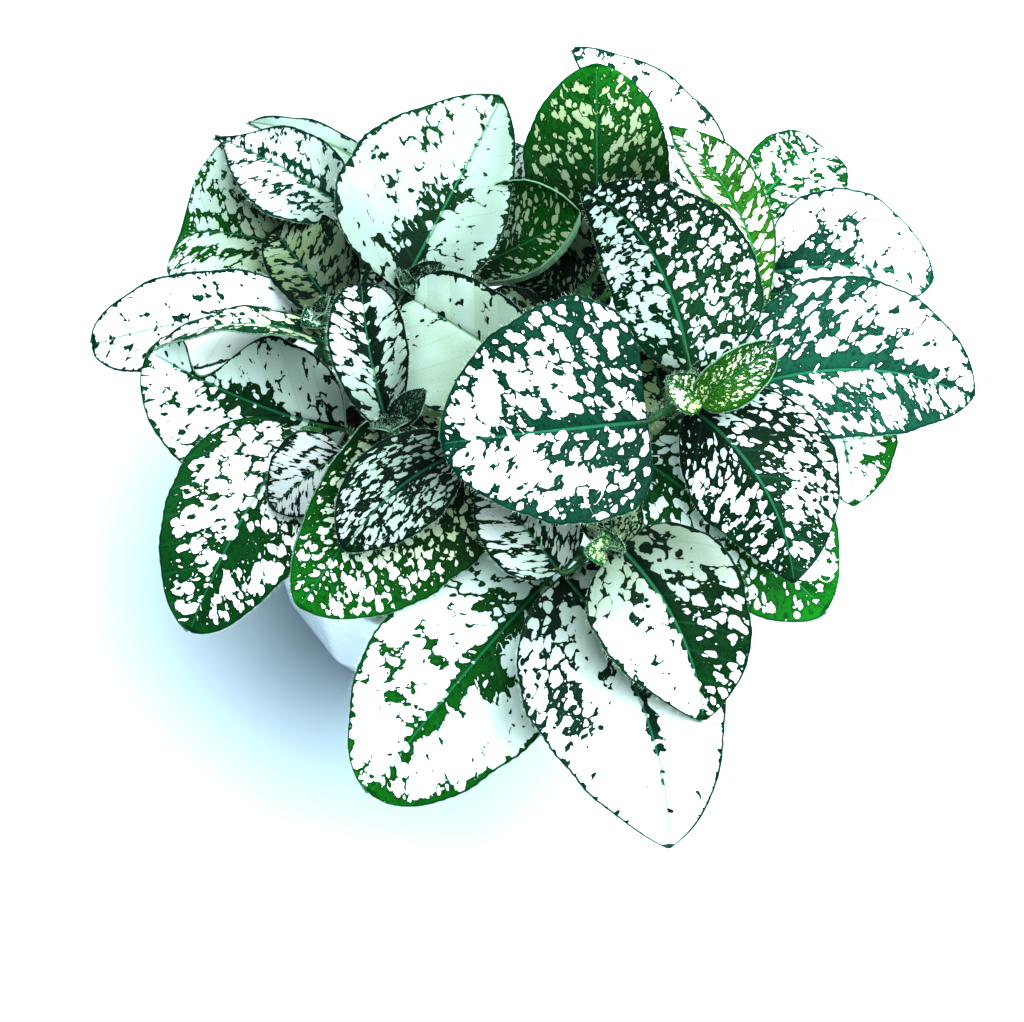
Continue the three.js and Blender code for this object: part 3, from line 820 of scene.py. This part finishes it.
# %% The newest leaves
stems = {
    "right": ((24, -4), (59, -11, 129)),
    "front": ((16, -22), (42, -41, 114)),
    "middle": ((-8, -14), (-7, -12, 115)),
    "back_left": ((-4, 18), (-4, 29, 111)),
    "back": ((20, 22), (44, 46, 104)),
    "left": ((-26, 6), (-26, 27, 103)),
}
newest_reach = 4.2
newest_rise = 4.0
newest_width = 4.2
newest_lit = paint(0.5, (leafy, bottle), sour)
newest_shaded = paint(0.3, (blackish, deep), shaded)
newest_looks = {"right": 70, "front": 150, "middle": 200, "back_left": 130, "back": 30, "left": 250}

for stem, look in newest_looks.items():
    x, y, z = stems[stem][1]
    for side, turn in enumerate((0, 160)):
        angle = math.radians(look + turn)
        tip = (x + newest_reach * math.cos(angle), y + newest_reach * math.sin(angle), z + newest_rise)
        face = (-math.cos(angle), -math.sin(angle), 1)
        leaf(f"{stem}_newest_{side}", stem, (x, y, z - 1), tip, newest_width,
             newest_lit if stem in ("right", "front") else newest_shaded, face=face, fold=32, arch=1)
print(len(leaves), "leaves")

# %% [markdown]
# ## A leaf's finish
# One material serves every leaf, because all that differs between them is carried by the blade itself:
# its share of white, its colours, the distance to its margin and its midrib, and a flat coordinate in
# millimetres that follows the side veins. A painted picture for each leaf would be the other way, but
# it would blur close up. Two sizes of round spots grow with the share of white and run together, and
# small green islands stay open in the white.

# %% The white spots
patch_cell = 2.2  # mm between the larger white spots
speck_cell = 1.05  # mm between the smaller ones
island_cell = 3.6  # mm between the green islands in the white
cloud_cell = 7.5  # mm between places with more and with less white
cloud_swing = 0.5  # by how much the share of white differs between them
patch_spread = 0.62  # how much the larger spots differ in size
speck_spread = 0.6
island_spread = 0.5
wander = 2.3  # mm by which the outlines of the spots wander
wander_scale = 0.35
grit_scale = 4.5  # of the finest grain on the blade
rim_green = 0.6  # mm of green along every margin
rib_green = 1.0  # green along the midrib, in widths of the midrib
spot_growth, spot_rush = 0.66, 0.2  # how a spot's radius grows at first and in nearly white places

board = Board(bpy.data.materials.new("spotted leaf"))
lie = board.carried("lie", "Vector")
share, edge, rib_distance = board.parts("blade")
vein_phase, rib_depth, margin_depth = board.parts("veins")
under = board.carried("under", "Fac")


def falls(distance, reach):
    """1 at no distance, falling like a bell over the reach."""
    near = distance / reach
    return (near * near * -1.0).sum("EXPONENT")


def flat_noise(scale, detail, output=0):
    inputs = {"Vector": lie, "Scale": scale, "Detail": detail}
    return board.box("ShaderNodeTexNoise", {"noise_dimensions": "2D"}, inputs, output)


def spots(vector, size, radius, spread):
    """Round spots round scattered points: above 0 inside a spot. Each one draws its own radius."""
    inside = None
    for feature in ("F1", "F2"):
        settings = {"voronoi_dimensions": "2D", "feature": feature}
        distance = board.box("ShaderNodeTexVoronoi", settings, {"Vector": vector, "Scale": 1 / size})
        drawn = Wire(board, distance.socket.node.outputs["Color"])
        drawn = board.box("ShaderNodeSeparateColor", None, {"Color": drawn})
        reach = (drawn - 0.5) * spread + radius - distance
        inside = reach if inside is None else inside.sum("MAXIMUM", reach)
    return inside


# The outlines of the spots are made ragged by moving the coordinate to and fro.
wobble = flat_noise(wander_scale, 2.0, "Color")
wobble = board.box("ShaderNodeVectorMath", {"operation": "SUBTRACT"}, {0: wobble, 1: (0.5, 0.5, 0.5)})
wobble = board.box("ShaderNodeVectorMath", {"operation": "SCALE"}, {0: wobble, "Scale": wander})
ragged = board.box("ShaderNodeVectorMath", {"operation": "ADD"}, {0: lie, 1: wobble})
cloud = flat_noise(1 / cloud_cell, 1.0)
fine = flat_noise(grit_scale, 3.0)

# The share of white varies a little and falls off towards the margin and the midrib.
by_margin = falls(edge, rim_green + margin_depth * 0.8) * margin_depth
by_rib = falls(rib_distance, rib_green) * rib_depth
level = share + (cloud - 0.5) * cloud_swing - by_margin - by_rib
level = level.sum("MAXIMUM", 0)

# A point is white inside a large or a small spot, but not on a green island.
radius = level * spot_growth + level**6 * spot_rush - 0.01
patches = spots(ragged, patch_cell, radius, patch_spread)
specks = spots(ragged, speck_cell, radius * 0.8 - 0.33, speck_spread)
islands = spots(ragged, island_cell, (1.12 - level) * 0.35 - 0.13, island_spread)
paleness = patches.sum("MAXIMUM", specks * 0.5).sum("MINIMUM", islands * -1.4)
is_pale = board.step(paleness, -0.02, 0.02)
fringe = board.step(paleness, -0.3, -0.02)
print("spots:", len(board.tree.nodes), "boxes")

# %% [markdown]
# ## Veins, margin and colours
# Pale lines follow the midrib and the side veins, and a dark beaded line with a pale rim follows the
# margin; the rim is a painted highlight. The green gets a pale grain, which is painted sheen, and turns
# darker round each spot, the underside is paler, and painted shade multiplies what lies near the stalks
# and under folds. Each of these is one more mix on top of the last, as glazes are laid in paint.

# %% The leaf's colours
vein_line = 1 - board.step(vein_phase.sum("PINGPONG", 0.5), 0.02, 0.07)
rib_line = 1 - board.step(rib_distance, 0.25, 0.5)
lines = (vein_line * 0.12).sum("MAXIMUM", rib_line)

# The green gets a pale grain that is painted sheen, dark fringes round the spots and paler veins.
own_green = board.carried("green", "Color")
green = board.mixed(board.step(fine, 0.35, 0.75) * 0.12, own_green, linear(96, 170, 140))
green = board.mixed(fringe * 0.6, green, linear(3, 36, 14))
green = board.mixed((vein_line * 0.2).sum("MAXIMUM", rib_line) * 0.36, green, linear(78, 168, 130))

# The white gets a greenish grain, greyer clouds and green veins.
own_pale = board.carried("pale", "Color")
pale = board.mixed(board.step(fine, 0.3, 0.8) * 0.18, own_pale, linear(205, 224, 206))
pale = board.mixed(board.step(cloud, 0.4, 0.75) * 0.2, pale, linear(190, 204, 206))
pale = board.mixed(lines * 0.5, pale, linear(70, 130, 70))
leaf_colour = board.mixed(is_pale, green, pale)

# Over both lie the beaded margin line, its pale rim (a painted highlight), the paler underside
# and the painted shade near the stalks and under folds.
beading = fine * 0.3 + 0.3
margin_line = 1 - board.step(edge - beading, 0.0, 0.12)
margin_green = board.mixed(0.55, own_green, linear(4, 46, 44))
leaf_colour = board.mixed(margin_line * 0.95, leaf_colour, margin_green)
# Painted highlight: a pale rim where the blade's edge would catch the light.
leaf_colour = board.mixed((1 - board.step(edge, 0.04, 0.1)) * 0.35, leaf_colour, linear(150, 190, 160))
leaf_colour = board.mixed(under * 0.6, leaf_colour, linear(168, 198, 170))
# Painted shade: darkens the blade near the stalks and under folds, where other leaves shade it.
leaf_colour = board.mixed(board.carried("painted_shade", "Fac"), leaf_colour, linear(92, 104, 98), "MULTIPLY")

# The veins are sunk and the white stands a little proud.
relief = fine * 0.25 - lines * 0.6 + is_pale * 0.12
leaf_material = board.finish(
    Base_Color=leaf_colour,
    Roughness=0.42 + fine * 0.2,
    Normal=board.bump(relief, 0.0004, 0.7),
    Specular_IOR_Level=0.1,
)
print("leaf material:", len(board.tree.nodes), "boxes")

# %% [markdown]
# ## The blades
# A leaf is a thin sheet, so a blade starts as one flat grid, whose columns stand closer near the
# midrib, where the groove is. Grown, low and young leaves get grids of their own fineness. The grid
# is copied for each leaf, and its points are carried to their places further down.

# %% The flat blade
crowding = 1.3  # over 1, the grid's columns crowd towards the midrib


def flat_blade(columns, rows):
    """A flat grid of unit size as points (s, t) and faces."""
    bpy.ops.object.select_all(action="DESELECT")
    bpy.ops.mesh.primitive_grid_add(x_subdivisions=columns, y_subdivisions=rows, size=2)
    points, faces = taken(bpy.context.active_object)
    s = np.sign(points[:, 0]) * np.abs(points[:, 0]) ** crowding
    return s, (points[:, 1] + 1) / 2, faces


flat_blades = {"large": flat_blade(40, 56), "low": flat_blade(24, 34), "young": flat_blade(20, 24)}
print("flat blades:", {kind: len(flat[0]) for kind, flat in flat_blades.items()}, "points")

# %% [markdown]
# ## Veins, waves and teeth
# On a real leaf the side veins pull shallow grooves between puffed fields, the margin has a slow wave
# and small blunt teeth, and no outline swells like the next. Sculpting that on every leaf would take
# days, and a displacement in the material would be lost in the export. So these are sums of waves on
# the points, in the same function that lays the blade in its place.

# %% The blade in its place
vein_count = 6.5
vein_rise = 0.55
vein_bend = 0.011 / MM
quilt_height = 0.14 * MM
quilt_reach = 4 * MM  # from the midrib to the full height of the puffed fields
groove_depth = 0.45 * MM
groove_reach = 0.8 * MM
wave_height = 0.5 * MM
waves = 2.7  # along each margin
bulge_share = 0.014
bulges_long, bulges_short = 2.3, 5.1  # swellings of the outline along each margin
tooth_share = 0.006
tooth_length = 2.6 * MM
whole_turn = 2 * math.pi


def blade_points(blade, s, t):
    """The upper side's points, with the flat coordinates of the markings.

    The leaf's number and its side shift every wave, so no two margins swell alike.
    """
    length, number = blade["length"], blade["number"]
    right = s > 0
    # The outline: teeth, then slow and quick swellings.
    half = half_width(blade, t, right)
    half = half * (1 + tooth_share * np.abs(s) ** 6 * np.sin(whole_turn * t * length / tooth_length))
    bulges = np.sin(whole_turn * bulges_long * t + 1.7 * number + 2.4 * right)
    bulges += 0.7 * np.sin(whole_turn * bulges_short * t + number)
    half = half * (1 + bulge_share * s**4 * bulges)
    x, y = s * half, t * length

    # Each half is laid out from the midrib at its fold, along the arc of its curl.
    curl = np.radians(np.where(right, blade["right"], blade["left"])) * np.abs(s)
    angle = math.radians(blade["fold"]) + curl / 2
    reach = np.abs(x) * np.sinc(curl / 2 / math.pi)
    points, _, across, up = midrib(blade, t)
    out = across * (np.sign(s) * reach * np.cos(angle))[:, None]
    points = points + out + up * (reach * np.sin(angle))[:, None]

    # The side veins leave the midrib in turns, slant towards the tip and bend.
    rising = y - vein_rise * np.abs(x) - vein_bend * x**2
    phase = rising / (length / vein_count) + 0.5 * right + 20
    edge = (1 - np.abs(s)) * half
    edge = np.minimum(edge, (1 - t) * length * 0.5)

    # The relief: puffed fields between the veins, the midrib's groove and the margin's wave.
    size = min(length / (50 * MM), 1)  # small leaves have lower relief
    field = np.clip(np.abs(x) / quilt_reach, 0, 1) * np.clip(edge / (3 * MM), 0, 1)
    height = quilt_height * field * (0.5 - 0.5 * np.cos(whole_turn * phase))
    height -= groove_depth * np.exp(-((x / groove_reach) ** 2)) * np.sqrt(1 - t)
    height += wave_height * np.abs(s) ** 4 * np.sin(whole_turn * waves * t + 2.1 * number + 1.5 * right)
    points = points + up * (height * size)[:, None]
    return points, x, rising, phase, edge


longest = max(leaves, key=lambda name: leaves[name]["length"])
print(f"the longest blade: {longest}, {leaves[longest]['length'] / MM:.0f} mm")

# %% [markdown]
# ## What a blade carries
# The leaf material reads all that differs between leaves from the points of the blade, so each blade
# gets its numbers and colours written there. Then a Solidify modifier gives it its thickness. The
# new points come after the old ones, which tells the underside from the upper side.

# %% The blades
young_length = 15 * MM
blade_thickness = 0.45 * MM
spot_length = 42 * MM  # on shorter leaves the spots stand closer
rib_strength = 0.5  # how much white the midrib takes away at the base
rib_at_base, rib_taper = 1.3, 0.9  # mm, and how much of it is lost at the tip
pattern_shift = 61.7  # mm between the patterns of two leaves
colour_hold = 1.2  # over 1, the base's colour reaches further towards the tip


def marked(mesh, name, kind, values):
    """Writes one value for each point of a mesh under a name that the material reads."""
    attribute = mesh.attributes.new(name, kind, "POINT")
    key = "color" if kind == "FLOAT_COLOR" else "vector" if kind == "FLOAT_VECTOR" else "value"
    attribute.data.foreach_set(key, np.ascontiguousarray(values, dtype=np.float32).ravel())


def between(pair, t):
    """The colour at shares t of the way from base to tip."""
    one, other = np.array(pair[0]), np.array(pair[1])
    share = np.clip(t, 0, 1)[:, None] ** colour_hold
    return one + share * (other - one)


def blade_piece(name, blade):
    look, length = blade["look"], blade["length"]
    kind = "low" if blade["low"] else "young" if length < young_length else "large"
    s, t, faces = flat_blades[kind]
    points, x, rising, phase, edge = blade_points(blade, s, t)
    piece = placed("leaf_" + name, points, faces)
    mesh = piece.data
    count = len(points)
    rib_width = (rib_at_base - rib_taper * t) * min(length / (40 * MM), 1)
    offset = pattern_shift * (blade["number"] + 1)
    closeness = max(spot_length / length, 1) ** 0.7
    grain_across, grain_along, slant = look["grain"]
    across = x / MM * grain_across * closeness + offset
    flow = (t * length - slant * np.abs(x)) / MM * grain_along * closeness + offset
    marked(mesh, "lie", "FLOAT_VECTOR", np.stack([across, flow, np.zeros(count)], 1))
    marked(mesh, "blade", "FLOAT_VECTOR", np.stack(
        [touched(look["share"], look["touches"], t, s), edge / MM, np.abs(x) / MM / rib_width], 1))
    marked(mesh, "veins", "FLOAT_VECTOR", np.stack(
        [phase, rib_strength * np.sqrt(1 - t), np.full(count, look["margin"])], 1))
    marked(mesh, "painted_shade", "FLOAT", np.clip(touched(0, look["painted_shade"], t, s), 0, 1))
    marked(mesh, "green", "FLOAT_COLOR", between(look["green"], t))
    marked(mesh, "pale", "FLOAT_COLOR", between(look["pale"], t))
    applied(piece, "SOLIDIFY", thickness=blade_thickness, offset=-1)
    below = np.arange(len(piece.data.vertices)) >= count
    marked(piece.data, "under", "FLOAT", below)
    bpy.ops.object.shade_smooth_by_angle(angle=math.radians(50))
    piece.data.materials.append(leaf_material)
    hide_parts("leafy_stem_" + blade["stem"])
    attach(piece, "root")
    return piece


blades = [blade_piece(name, blade) for name, blade in leaves.items()]
print(len(blades), "blades,", sum(len(piece.data.polygons) for piece in blades), "faces")

# %% [markdown]
# ## Stems and stalks
# Each stem leaves the soil upright, leans out and turns up again at its crown. Each stalk leaves it
# below its blade, rises and comes in under the blade's base. Both are Bezier curves, whose four
# control points follow from where the stem stands and where the leaf is, so no stalk misses its leaf.

# %% The curves of stems and stalks
stem_foot = soil_level + 1 * MM
stem_rise = 0.45  # the share of its height over which a stem starts upright
crown_rise = 0.35  # the share over which it turns up again
crown_lean = 0.25  # the share of its way outwards that is left for the crown
stalk_fall = 0.35  # how far below its blade a stalk starts, as a share of its way outwards
stalk_lift = 0.25  # the share of a stalk that rises at first, and that comes in under the blade
lowest_stalk = 6 * MM  # above the soil
below_blade = 0.7 * MM


def stem_points(name):
    """The four control points of a stem's curve."""
    foot, top = stems[name]
    foot = np.array((*foot, stem_foot / MM)) * MM
    top = np.array(top) * MM
    height = top[2] - foot[2]
    leaning = (top - foot) * (crown_lean, crown_lean, 0)
    low = foot + (0, 0, stem_rise * height)
    high = top - leaning - (0, 0, crown_rise * height)
    return foot, low, high, top


def curve_point(points, share):
    a, b, c, d = points
    rest = 1 - share
    return rest**3 * a + 3 * rest**2 * share * b + 3 * rest * share**2 * c + share**3 * d


def at_height(points, height):
    """The point of a rising curve at a height, found by halving."""
    low, high = 0.0, 1.0
    for _ in range(20):
        middle = (low + high) / 2
        if curve_point(points, middle)[2] < height:
            low = middle
        else:
            high = middle
    return curve_point(points, low)


def stalk_points(blade):
    """The four control points of a stalk's curve, which ends just below its blade."""
    stem = stem_points(blade["stem"])
    start, along, _, up = (value[0] for value in midrib(blade, [0.0]))
    level = at_height(stem, start[2])
    fall = stalk_fall * np.linalg.norm(level - start)
    joint = at_height(stem, max(start[2] - fall, soil_level + lowest_stalk))
    span = np.linalg.norm(joint - start)
    below = start - below_blade * up
    return joint, joint + (0, 0, stalk_lift * span), below - stalk_lift * span * along, below


stalk_heights = [stalk_points(blade)[0][2] / MM for blade in leaves.values()]
print(f"the stalks leave their stems {min(stalk_heights):.0f} to {max(stalk_heights):.0f} mm up")

# %% [markdown]
# ## Tubes round the curves
# A curve with a round bevel is quick to draw and thins towards its end, where a row of extruded rings
# would have to be turned at every bend. A stalk doesn't end at the blade: it runs on under it as the
# raised midrib. Turned to meshes and joined, with a small ball at each joint, the tubes are remeshed
# as one skin, so that every joint swells and blends as it does on the plant.

# %% The stems' shapes
stem_radius = 1.8 * MM
stalk_radius = 0.9 * MM
hole_bottom = soil_level - 13.7 * MM
stalk_reach = 9 * MM
stem_tip = 0.4  # its thickness beside the stem's foot
stalk_thinning = (1.0, 0.8, 0.35)  # at the stem, under the blade's base and where it ends
young_stalk = 0.55  # its thickness beside a grown leaf's stalk
knot_radius = 2.15 * MM
skin_cell = 0.42 * MM


def drawn_tube(stations, radius):
    """A bevelled Bezier curve; each station is (point, handle before, handle after, thickness)."""
    bpy.ops.object.select_all(action="DESELECT")
    bpy.ops.curve.primitive_bezier_curve_add(location=(0, 0, 0))
    tube = bpy.context.active_object
    tube.data.bevel_depth = radius
    tube.data.bevel_resolution = 2
    tube.data.resolution_u = tube.data.render_resolution_u = 14
    tube.data.use_fill_caps = True
    line = tube.data.splines[0]
    line.bezier_points.add(len(stations) - 2)
    for station, (point, before, after, thickness) in zip(line.bezier_points, stations):
        station.handle_left_type = station.handle_right_type = "FREE"
        station.co, station.handle_left, station.handle_right = point, before, after
        station.radius = thickness
    bpy.ops.object.convert(target="MESH")
    return bpy.context.active_object


def stem_tube(name):
    foot, low, high, top = stem_points(name)
    root = foot * (1, 1, 0) + (0, 0, hole_bottom)
    down = (foot - root) / 3
    below_soil = (root, root - down, root + down, 1.0)
    return drawn_tube([below_soil, (foot, foot - down, low, 1.0), (top, high, top, stem_tip)], stem_radius)


def stalk_tube(blade):
    joint, lift, entry, below = stalk_points(blade)
    length = blade["length"]
    run = min(stalk_reach, 0.3 * length)
    points, _, _, up = midrib(blade, [run / length])
    end = points[0] - 0.5 * MM * up[0]
    share = young_stalk if length < young_length else 1.0
    first, middle, last = (share * thickness for thickness in stalk_thinning)
    onward = (end - below) / 3
    return drawn_tube([
        (joint, joint, lift, first), (below, entry, below + onward, middle), (end, end - onward, end, last),
    ], stalk_radius)


def knot(blade):
    """The swelling where a stalk leaves its stem."""
    joint = stalk_points(blade)[0]
    bpy.ops.mesh.primitive_uv_sphere_add(segments=14, ring_count=8, radius=knot_radius, location=joint)
    ball = bpy.context.active_object
    bpy.ops.transform.resize(value=(1, 1, 0.7))
    return ball


def stem_piece(name):
    own = [blade for blade in leaves.values() if blade["stem"] == name]
    parts = [stem_tube(name)]
    for blade in own:
        parts.append(stalk_tube(blade))
        if blade["length"] >= young_length:
            parts.append(knot(blade))
    alone(parts[0])
    for part in parts[1:]:
        part.select_set(True)
    bpy.ops.object.join()
    piece = bpy.context.active_object
    bpy.ops.object.transform_apply(location=True, rotation=True, scale=True)
    piece.name = "stem_" + name
    applied(piece, "REMESH", mode="VOXEL", voxel_size=skin_cell)
    applied(piece, "SMOOTH", factor=0.5, iterations=5)
    bpy.ops.object.shade_smooth()
    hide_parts("leafy_stem_" + name)
    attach(piece, "root")
    return piece


stem_pieces = {name: stem_piece(name) for name in stems}
print("stems:", sum(len(piece.data.polygons) for piece in stem_pieces.values()), "faces")

# %% [markdown]
# ## The stems' finish
# Stems are a fresh green that shifts from dark to yellowish, with fine pale streaks along them. Their
# mesh has no coordinate that follows the stem, but they all stand nearly upright, so a noise that is
# drawn out along Z gives the streaks.

# %% The stems' finish
board = Board(bpy.data.materials.new("green stem"))
spot = board.place()
drawn_out = board.box("ShaderNodeMapping", None, {"Vector": spot, "Scale": (1, 1, 0.25)})
streaks = board.noise(drawn_out, 700.0, 3.0)
tone = board.noise(spot, 90.0, 1.0)
stem_green = board.mixed(board.step(tone, 0.35, 0.65), linear(14, 70, 40), linear(42, 106, 40))
stem_green = board.mixed(board.step(streaks, 0.45, 0.75) * 0.45, stem_green, linear(100, 160, 116))
stem_material = board.finish(
    Base_Color=stem_green, Roughness=0.5, Normal=board.bump(streaks, 0.0003), Sheen_Weight=0.15
)
for piece in stem_pieces.values():
    piece.data.materials.append(stem_material)
print("stem material:", len(board.tree.nodes), "boxes")

# %% [markdown]
# ## Hairs
# Short pale hairs stand on the margins, the stems, the stalks and the young leaves. One hair is
# modelled by hand, as a small triangle extruded twice and bent a little. With more than twenty
# thousand copies, a hair has to stay this simple, and it is thinner than a pixel anyway.

# %% One hair
hair_length = 1.0 * MM
hair_width = 0.08 * MM


def one_hair():
    """A bent hair of unit length along +Z; each of its two joints rises, leans aside and tapers."""
    bpy.ops.object.select_all(action="DESELECT")
    bpy.ops.mesh.primitive_circle_add(vertices=3, radius=hair_width / hair_length / 2, fill_type="NGON")
    bpy.ops.object.mode_set(mode="EDIT")
    bpy.ops.mesh.select_all(action="SELECT")
    for rise, aside, share in ((0.5, 0.05, 0.7), (0.5, 0.16, 0.15)):
        bpy.ops.mesh.extrude_region_move(TRANSFORM_OT_translate={"value": (aside, 0, rise)})
        bpy.ops.transform.resize(value=(share, share, 1))
    bpy.ops.object.mode_set(mode="OBJECT")
    return taken(bpy.context.active_object)


hair = one_hair()
print("one hair:", len(hair[0]), "points and", len(hair[1]), "faces")

# %% [markdown]
# ## Where the hairs stand
# Every hair needs a foot on a surface and a direction away from it. Both come from the functions that
# laid the blades and the curves, so the hairs sit on the plant wherever a leaf is moved to. Seeded
# draws spread them and tilt each one a little, because combed hairs would look like a brush.

# %% Where the hairs stand
margin_spacing = 0.6 * MM
margin_length = 2.3  # of both margins, in lengths of the leaf
stalk_spacing = 0.22 * MM
downy_length = 21 * MM  # shorter leaves have hairs on their upper sides too
downy_count = 220


def standing(point, direction, size):
    """A hair's place: its foot, and axes whose third one is its direction."""
    direction = unit(direction)
    side = unit(np.cross(direction, draw.normal(size=3)))
    return point, np.stack([side, np.cross(direction, side), direction]) * size


def margin_hairs(blade):
    count = int(margin_length * blade["length"] / margin_spacing)
    t = draw.uniform(0.04, 0.985, count)
    s = np.where(draw.random(count) < 0.5, -1.0, 1.0)
    rim = blade_points(blade, s, t)[0]
    inner = blade_points(blade, s * 0.9, t)[0]
    _, along, _, up = midrib(blade, t)
    outward = unit(rim - inner) + 0.5 * along + up * draw.uniform(-0.5, 0.6, count)[:, None]
    outward += draw.normal(scale=0.25, size=(count, 3))
    return [standing(rim[i], outward[i], hair_length * draw.uniform(0.5, 1.1)) for i in range(count)]


def face_hairs(blade):
    """Hairs on the upper side of a young leaf, denser along its midrib."""
    t = draw.uniform(0.03, 0.97, downy_count)
    s = np.clip(draw.normal(scale=0.45, size=downy_count), -0.95, 0.95)
    points = blade_points(blade, s, t)[0]
    _, along, _, up = midrib(blade, t)
    direction = up + 0.8 * along + draw.normal(scale=0.3, size=(downy_count, 3))
    sized = zip(points, direction)
    return [standing(point, ahead, hair_length * draw.uniform(0.4, 0.9)) for point, ahead in sized]


def stalk_hairs(curve, radius, length, spacing):
    """Hairs all round a stalk or a stem."""
    places = []
    for _ in range(int(length / spacing)):
        share = draw.random()
        point = curve_point(curve, share)
        ahead = unit(curve_point(curve, share + 0.01) - point)
        out = unit(np.cross(ahead, draw.normal(size=3)))
        places.append(standing(point + radius * out, out + 0.4 * ahead, hair_length * draw.uniform(0.5, 1.2)))
    return places


downy = [name for name, blade in leaves.items() if blade["length"] < downy_length]
print(len(downy), "leaves with hairs on their upper sides")

# %% [markdown]
# ## The hairs of the whole plant
# All hairs of one stem and its leaves become a single mesh, because thousands of separate objects
# would slow everything down. Their finish is a pale green-white that varies a little from place to
# place. Seen against dark leaves it reads as a bright fringe.

# %% The hairs
board = Board(bpy.data.materials.new("pale hairs"))
tone = board.noise(board.place(), 60.0)
hair_colour = board.mixed(tone, linear(196, 226, 200), linear(238, 248, 240))
hair_material = board.finish(Base_Color=hair_colour, Roughness=0.5)
hair_count = 0
for stem in stems:
    places = []
    for name, blade in leaves.items():
        if blade["stem"] != stem:
            continue
        young = blade["length"] < young_length
        places += margin_hairs(blade)
        if name in downy:
            places += face_hairs(blade)
        curve = stalk_points(blade)
        span = np.linalg.norm(curve[3] - curve[0])
        places += stalk_hairs(curve, stalk_radius * (0.5 if young else 0.85), span, stalk_spacing)
    curve = stem_points(stem)
    places += stalk_hairs(curve, stem_radius * 0.9, np.linalg.norm(curve[3] - curve[0]), stalk_spacing / 2)
    hairs = placed("hairs_" + stem, *copied(hair, places))
    hairs.data.materials.append(hair_material)
    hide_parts("leafy_stem_" + stem)
    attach(hairs, "root")
    hair_count += len(places)
print(hair_count, "hairs of", len(hair[1]), "faces each")
